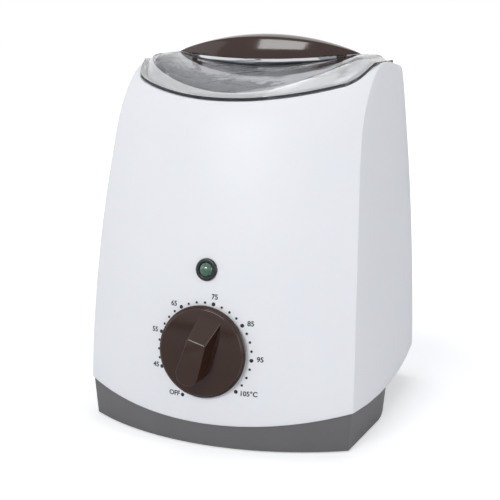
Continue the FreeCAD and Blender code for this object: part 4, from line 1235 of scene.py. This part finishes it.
@dataclass(frozen=True)
class LidPlan:
    """Plan of the lid: bowed front and back, straight sides and round corners.

    Points stand along half a side, round a corner and along half a bow before they are evened.
    The front corners are let out in small steps of growth, up to the largest scale.
    """

    side: float = 75.6
    front: Bow = Bow(100.0, 43.7, 45.0)
    rear: Bow = Bow(280.0, 82.1, 46.0)
    points: tuple[int, int, int] = (24, 32, 60)
    growth: float = 0.004
    largest: float = 1.15

    def quarter_line(self, face: Face, inset: float) -> list[Flat]:
        """Draw the right-hand half of the front or back.

        Args:
            face: Which of the two.
            inset: How far the line lies inside the plan.

        Returns:
            Points from the side's middle to the centre line.
        """
        bow = self.front if face is Face.FRONT else self.rear
        axis = (bow.radius - bow.reach) * -face.value
        side, radius, corner = self.side - inset, bow.radius - inset, bow.corner - inset / 2
        along, round_corner, along_bow = self.points
        across = side - corner
        up = axis + face.value * math.sqrt((radius - corner) ** 2 - across * across)
        tangent = math.atan2((up - axis) * face.value, across)
        line = [(side, y) for y in spread(LID_Y, up, along)]
        line += [(across + corner * math.cos(angle), up + face.value * corner * math.sin(angle))
                 for angle in spread(0.0, tangent, round_corner)[1:]]
        line += [(radius * math.cos(angle), axis + face.value * radius * math.sin(angle))
                 for angle in spread(tangent, math.pi / 2, along_bow)[1:]]
        return self.evened(line)

    def evened(self, line: list[Flat]) -> list[Flat]:
        """Share out a quarter of the ring's points at even distances.

        Args:
            line: The line that they lie on.

        Returns:
            The points.
        """
        lengths = [0.0]
        for start, end in zip(line, line[1:]):
            lengths.append(lengths[-1] + math.dist(start, end))
        found, place = [], 0
        for wanted in spread(0.0, lengths[-1], RING_POINTS // 4 + 1):
            while place < len(line) - 2 and lengths[place + 1] < wanted:
                place += 1
            share = (wanted - lengths[place]) / (lengths[place + 1] - lengths[place])
            found.append(mixed(line[place], line[place + 1], share))
        return found

    def ring(self, inset: float) -> list[Flat]:
        """Draw the plan.

        Args:
            inset: How far inside the flange.

        Returns:
            A closed ring, from the right-hand side's middle round by the back.
        """
        front, rear = (self.quarter_line(face, inset) for face in Face)
        left = [(-x, y) for x, y in rear[-2::-1] + front[1:]]
        return rear + left + front[-2::-1]

    def within(self, point: Flat, margin: float) -> bool:
        """Tell whether a point lies inside the shell's rim and the plan with sharp corners.

        Args:
            point: The plan point.
            margin: How far the lid stays inside the rim.

        Returns:
            Whether it does.
        """
        x, y = point
        rim = FORM.face_y(x, min(FORM.height, FORM.trough(x)), Face.FRONT) + margin
        bowed = math.hypot(x, y - self.front.radius + self.front.reach) <= self.front.radius
        return abs(x) <= self.side and y >= rim and (y > 0 or bowed)

    def flush(self, margin: float) -> list[Flat]:
        """Draw the plan, let out at the front corners until it lies flush with the rim.

        Args:
            margin: How far it stays inside the shell's rim.

        Returns:
            A closed ring.
        """
        ring = []
        for point in self.ring(0.0):
            size, larger = 1.0, 1.0 + self.growth
            while (point[1] < LID_Y and size < self.largest
                   and self.within(scaled(point, larger, larger), margin)):
                size, larger = larger, larger + self.growth
            ring.append(scaled(point, size, size))
        return ring


@dataclass(frozen=True)
class Leaf:
    """Two shallow arcs that meet in points: the plan of handle and platform."""

    length: float = 61.0
    depth: float = 13.0

    def ring(self, margin: float) -> list[Flat]:
        """Draw the leaf in step with the lid's ring.

        Args:
            margin: How much longer and deeper it is.

        Returns:
            A closed ring of plan points.
        """
        length, depth = self.length + margin, self.depth + margin
        radius = (length * length + depth * depth) / (2 * depth)
        ring = []
        for index in range(RING_POINTS + 1):
            angle = math.tau * index / RING_POINTS
            x = length * math.cos(angle)
            reach = math.sqrt(radius * radius - x * x) - (radius - depth)
            ring.append((x, LID_Y + math.copysign(reach, math.sin(angle))))
        return ring


class LidPart(Enum):
    """Parts of the lid that look different, in the order of its materials: clear, a dark tint that
    is painted shade, and a half-white finish that is painted light.
    """

    CLEAR = 0
    PAINTED_SHADE_LINE = 1
    PAINTED_LIGHT_BAND = 2


@dataclass
class Lid:
    """Clear lid: flange in the trough, saddle-shaped dome and a raised leaf for the handle."""

    plan: LidPlan = LidPlan()
    leaf: Leaf = Leaf()
    gap: float = 0.3
    flange: float = 2.0
    edge: float = 1.8
    edge_round: Rounding = Rounding(0.4, 38.0, 2)
    rim_margin: float = 0.6
    ledge: float = 2.5
    wall: float = 1.8
    lip: float = 3.0
    crest: float = 216.4
    tuck: float = 0.6  # how far the flange's underside stays below the crest
    margin: float = 3.0
    round: float = 6.0
    round_shares: tuple[float, ...] = (0.0, 0.02, 0.07, 0.15, 0.26, 0.4, 0.56, 0.74, 0.9)
    span_rings: int = 12
    leaf_rings: int = 6
    # The rings next to the rim are painted milky white: painted light.
    painted_light_rings: int = 6  # rings next to the rim that look milky
    saddle_level: float = 213.5
    saddle_radius: float = 277.5
    arch_radius: float = 127.0
    arch_y: float = 19.7
    crown_level: float = 227.3
    crown_radius: float = 287.0
    leaf_level: float = 217.0
    leaf_radius: float = 549.0
    blend: float = 1.2  # width of the round where two surfaces cross

    def soft_lower(self, first: float, second: float) -> float:
        """The lower of two heights, with a small round where they cross."""
        mix = max(self.blend - abs(first - second), 0.0) / self.blend
        return min(first, second) - mix * mix * self.blend / 4

    def limited(self, height: float, x: float, drop: float) -> float:
        """Height of dome or leaf under the crowned limit over both."""
        return self.soft_lower(height, crowned(self.crown_level, self.crown_radius, x, -drop))

    def dome(self, x: float, y: float, drop: float) -> float:
        """Height of the dome.

        Args:
            x: Distance from the centre line.
            y: Place from front to back.
            drop: Nothing for the outside, the wall for the inside.

        Returns:
            The height.
        """
        fall = hollow(0.0, self.arch_radius - drop, y - self.arch_y)
        saddle = hollow(self.saddle_level, self.saddle_radius, x, drop + fall)
        return self.limited(saddle, x, drop)

    def platform(self, x: float, y: float, drop: float) -> float:
        """Height of the raised leaf, never under the dome."""
        top = hollow(self.leaf_level, self.leaf_radius, x, drop)
        return max(self.limited(top, x, drop), self.dome(x, y, drop))

    def step(self, x: float, y: float, drop: float) -> float:
        """Height a third of the way up the raised leaf's side."""
        return (self.dome(x, y, drop) * 2 + self.platform(x, y, drop)) / 3

    def shelf(self, x: float) -> float:
        """Height of the flange's top."""
        return min(FORM.trough(x, self.gap + self.flange), self.crest)

    def seat(self, x: float, y: float) -> float:
        """Height of the flange's underside."""
        return min(FORM.trough(x, self.gap), self.crest - self.tuck)

    def brim(self, x: float, y: float) -> float:
        """Height of the upper edge of the flange's thin rim."""
        return min(self.seat(x, y) + self.edge, self.crest)

    def foot(self, x: float, y: float) -> float:
        """Height of the lip's lower edge."""
        return FORM.trough(x, self.gap - self.lip)

    def rounded(self, x: float, y: float, drop: float, share: float) -> float:
        """Height on the round that leads from the flange up into the dome."""
        foot, dome = self.shelf(x), self.dome(x, y, drop)
        return foot + max(0.0, dome - foot) * math.sqrt(1 - (1 - share) ** 2)

    def skin(self, drop: float) -> list[list[Point]]:
        """Draw the outside or the inside of dome and leaf.

        Args:
            drop: Nothing for the outside, the wall for the inside.

        Returns:
            Rings from the dome's edge over the leaf to its middle line.
        """
        inset = self.ledge + drop
        rings = [raised(self.plan.ring(inset + self.round * share),
                        partial(self.rounded, drop=drop, share=share))
                 for share in self.round_shares]
        edge, leaf = self.plan.ring(inset + self.round), self.leaf.ring(self.margin - drop)
        for share in spread(0.0, 1.0, self.span_rings):
            plan = [mixed(start, end, share) for start, end in zip(edge, leaf)]
            rings.append(raised(plan, partial(self.dome, drop=drop)))
        rings.append(raised(leaf, partial(self.step, drop=drop)))
        for share in spread(1.0, 0.0, self.leaf_rings):
            plan = [scaled(point, 1.0, share) for point in leaf]
            rings.append(raised(plan, partial(self.platform, drop=drop)))
        return rings

    def build(self) -> None:
        """Make the lid as one closed wall."""
        outer, ledge = self.plan.flush(self.rim_margin), self.plan.ring(self.ledge)
        inner = self.plan.ring(self.ledge + self.wall)
        rings = self.skin(0.0)[::-1]
        rim = len(rings) - 1
        rings += [raised(plan, level) for plan, level in (
            (outer, self.brim), (outer, self.seat), (ledge, self.seat), (ledge, self.foot),
            (inner, self.foot))]
        rings += self.skin(self.wall)
        bands = [LidPart.CLEAR.value] * len(rings)
        # The flange's top and the round up into the dome take the half-white finish: painted
        # light.
        bands[rim - self.painted_light_rings:rim + 1] = [LidPart.PAINTED_LIGHT_BAND.value] * (self.painted_light_rings + 1)
        # The flange's outer edge and the foot of the raised leaf take the dark tint: painted
        # shade.
        bands[rim + 1] = bands[self.leaf_rings] = LidPart.PAINTED_SHADE_LINE.value
        bm = bmesh.new()
        sheet(bm, rings, bands)
        close_up(bm)
        self.edge_round.cut(bm)
        lid = make_piece(bm, "lid", Body.LID, Paint.CLEAR, "clear_lid")
        for paint in (Paint.CLEAR_PAINTED_SHADE, Paint.CLEAR_PAINTED_LIGHT):
            lid.data.materials.append(paint.material)


@dataclass
class Handle:
    """Brown leaf-shaped handle with two pegs through the lid; drawn closed, with a flat underside
    rather than hollow.
    """

    leaf: Leaf = Leaf()
    tip: float = 60.26  # a little short of the leaf's, so that its ends close
    top: float = 231.8
    arch_radius: float = 165.0
    cross_radius: float = 34.0
    seat: float = 217.1
    seat_radius: float = 549.0
    lean: float = 2.8
    edge: Rounding = Rounding(0.7, 35.0, 4)
    edge_rise: float = 1.5
    edge_x: float = 56.0
    foot_shares: tuple[float, ...] = (0.0, 0.5)
    wall_rings: int = 9
    crown_shares: tuple[float, ...] = (0.97, 0.9, 0.8, 0.66, 0.5, 0.33, 0.16, 0.0)
    peg_x: float = 48.0
    peg_radius: float = 3.2
    peg_foot: float = 211.2
    peg_sunk: float = 1.0  # how far the pegs reach into the handle
    peg_edge: Rounding = Rounding(0.3, 60.0, 2)

    def under(self, x: float, y: float = LID_Y) -> float:
        """Height of the handle's foot on the lid."""
        return hollow(self.seat, self.seat_radius, x)

    def over(self, x: float, y: float) -> float:
        """Height of the handle's crowned top, never under its foot."""
        fall = crowned(0.0, self.arch_radius, x)
        return max(crowned(self.top, self.cross_radius, y - LID_Y, fall), self.under(x))

    def wall_point(self, point: Flat, rise: float) -> Point:
        """Point of the handle's bowed side wall.

        Args:
            point: The wall's foot in the plan.
            rise: Share of the way up.

        Returns:
            The point, leaning inwards more and more with the rise.
        """
        x, y = point
        inward = self.lean * rise * rise * math.cos(math.pi / 2 * x / self.leaf.length)
        y -= math.copysign(min(inward, abs(y - LID_Y)), y - LID_Y)
        low = self.under(x)
        return x, y, low + (self.over(x, y) - low) * rise

    def add_pegs(self, bm: Mesh) -> None:
        """Add both pegs.

        Args:
            bm: Their mesh.
        """
        reach = self.under(self.peg_x) + self.peg_sunk - self.peg_foot
        for side in Side:
            place = Vector((side.value * self.peg_x, LID_Y, self.peg_foot + reach / 2)) * MM
            bmesh.ops.create_cone(bm, cap_ends=True, segments=40,
                                  radius1=self.peg_radius * MM, radius2=self.peg_radius * MM,
                                  depth=reach * MM, matrix=Matrix.Translation(place))
        self.peg_edge.cut(bm)

    def add_grip(self, bm: Mesh) -> None:
        """Add the handle itself.

        Args:
            bm: Its mesh.
        """
        outline = [(x * self.tip / self.leaf.length, y) for x, y in self.leaf.ring(0.0)]
        rings = [raised([scaled(point, 1.0, share) for point in outline], self.under)
                 for share in self.foot_shares]
        for rise in spread(0.0, 1.0, self.wall_rings):
            rings.append([self.wall_point(point, rise) for point in outline])
        brim = rings[-1]
        for share in self.crown_shares:
            rings.append(raised([scaled(point, 1.0, share) for point in brim], self.over))
        sheet(bm, rings)
        close_up(bm)
        low, reach = (self.seat + self.edge_rise) * MM, self.edge_x * MM
        self.edge.cut(bm, lambda place: place.z > low and abs(place.x) < reach)

    def build(self) -> None:
        """Make the handle and its pegs."""
        for name, add, node in (("handle", self.add_grip, "lid_handle"),
                                ("handle_pegs", self.add_pegs, "")):
            bm = bmesh.new()
            add(bm)
            make_piece(bm, name, Body.LID, Paint.BROWN, node)


# ------------------------------------------------------------------ studio


@dataclass(frozen=True)
class SoftBox:
    """One soft lamp that faces the object."""

    name: str
    place: Point
    width: float
    depth: float
    watts: float
    target: Point = (0.0, 0.0, 110.0)

    def build(self) -> None:
        """Hang the lamp."""
        lamp = bpy.data.lights.new(self.name, "AREA")
        lamp.shape, lamp.energy = "RECTANGLE", self.watts
        lamp.size, lamp.size_y = self.width * MM, self.depth * MM
        item = new_object(self.name, lamp)
        away = (Vector(self.place) - Vector(self.target)).normalized()
        item.rotation_euler = away.to_track_quat("Z", "Y").to_euler()
        item.location = Vector(self.place) * MM


@dataclass
class Studio:
    """Pale table, soft lamps and the camera."""

    camera_place: Point = (237.76, -597.76, 245.05)
    camera_axes: tuple[Point, Point, Point] = (
        (0.9277, 0.3733, 0.0), (-0.0826, 0.2054, 0.9752), (0.3641, -0.9047, 0.2214))
    lens: float = 75.6
    floor_half: float = 6000.0
    near: float = 170.0
    far: float = 450.0
    near_white: float = 0.46  # share of the table's own white that is left near the object
    soft: float = 0.4
    boxes: tuple[SoftBox, ...] = (
        SoftBox("key box", (-275.0, -1400.0, 975.0), 720.0, 440.0, 10.0),
        SoftBox("left box", (-1700.0, -900.0, 700.0), 1000.0, 1000.0, 2.5),
        SoftBox("side box", (1500.0, -250.0, 420.0), 900.0, 900.0, 5.5),
        SoftBox("top box", (-100.0, 380.0, 1700.0), 900.0, 450.0, 5.0))

    def add_camera(self) -> None:
        """Set the camera."""
        camera = bpy.data.cameras.new("camera")
        camera.lens = self.lens
        camera.sensor_width = 36.0
        camera.clip_start, camera.clip_end = 0.01, 50.0
        item = new_object("camera", camera)
        turned = Matrix(self.camera_axes).transposed().to_4x4()
        item.matrix_world = Matrix.Translation(Vector(self.camera_place) * MM) @ turned
        bpy.context.scene.camera = item

    def add_floor(self) -> None:
        """Lay the table: it shows white to the eye and keeps the object's shadow."""
        made = with_nodes(bpy.data.materials.new("white laminate table"))
        seen = add_node(made, "LightPath").outputs["Is Camera Ray"]
        matt = add_node(made, "BsdfDiffuse", {"Color": linear("#E6E7E9")})
        place = add_node(made, "TexCoord").outputs["Object"]
        away = add_node(made, "VectorMath", {0: place}, operation="LENGTH")
        fade = add_node(made, "MapRange",
                        {"Value": away.outputs["Value"], "From Min": self.near * MM,
                         "From Max": self.far * MM, "To Min": self.near_white, "To Max": 1.0})
        white = add_node(made, "Math", {0: seen, 1: fade}, operation="MULTIPLY")
        glow = add_node(made, "Emission", {"Color": linear("#FFFFFF"), "Strength": white})
        both = add_node(made, "AddShader", {0: matt, 1: glow})
        add_node(made, "OutputMaterial", {"Surface": both})
        bm = bmesh.new()
        bmesh.ops.create_grid(bm, x_segments=1, y_segments=1, size=self.floor_half * MM)
        floor = new_mesh("table_top", bm)
        floor.data.materials.append(made)

    def add_world(self) -> None:
        """Surround the scene: white to the camera, in gloss and through glass, softer as light."""
        world = with_nodes(bpy.data.worlds.new("studio"))
        rays = add_node(world, "LightPath").outputs
        soft = add_node(world, "Background", {"Color": linear("#F4F6FA"),
                                              "Strength": self.soft})
        white = add_node(world, "Background", {"Color": linear("#FFFFFF"), "Strength": 1.0})
        seen = rays["Is Camera Ray"]
        for kind in ("Is Glossy Ray", "Is Transmission Ray"):
            seen = add_node(world, "Math", {0: seen, 1: rays[kind]}, operation="MAXIMUM")
        both = add_node(world, "MixShader", {0: seen, 1: soft, 2: white})
        add_node(world, "OutputWorld", {"Surface": both})
        bpy.context.scene.world = world

    def build(self) -> None:
        """Make floor, surroundings, lamps and camera."""
        self.add_floor()
        self.add_world()
        for box in self.boxes:
            box.build()
        self.add_camera()
        bpy.context.scene.view_settings.view_transform = "Standard"


def main() -> None:
    """Build every sub-assembly in order."""
    logging.basicConfig(level=logging.INFO, format="%(message)s")
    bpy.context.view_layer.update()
    for assembly in (Shell(), SolidPieces(), Well(), DialPrint(), Knob(), PilotLight(), Lid(),
                     Handle(), Studio()):
        assembly.build()


if __name__ == "__main__":
    main()
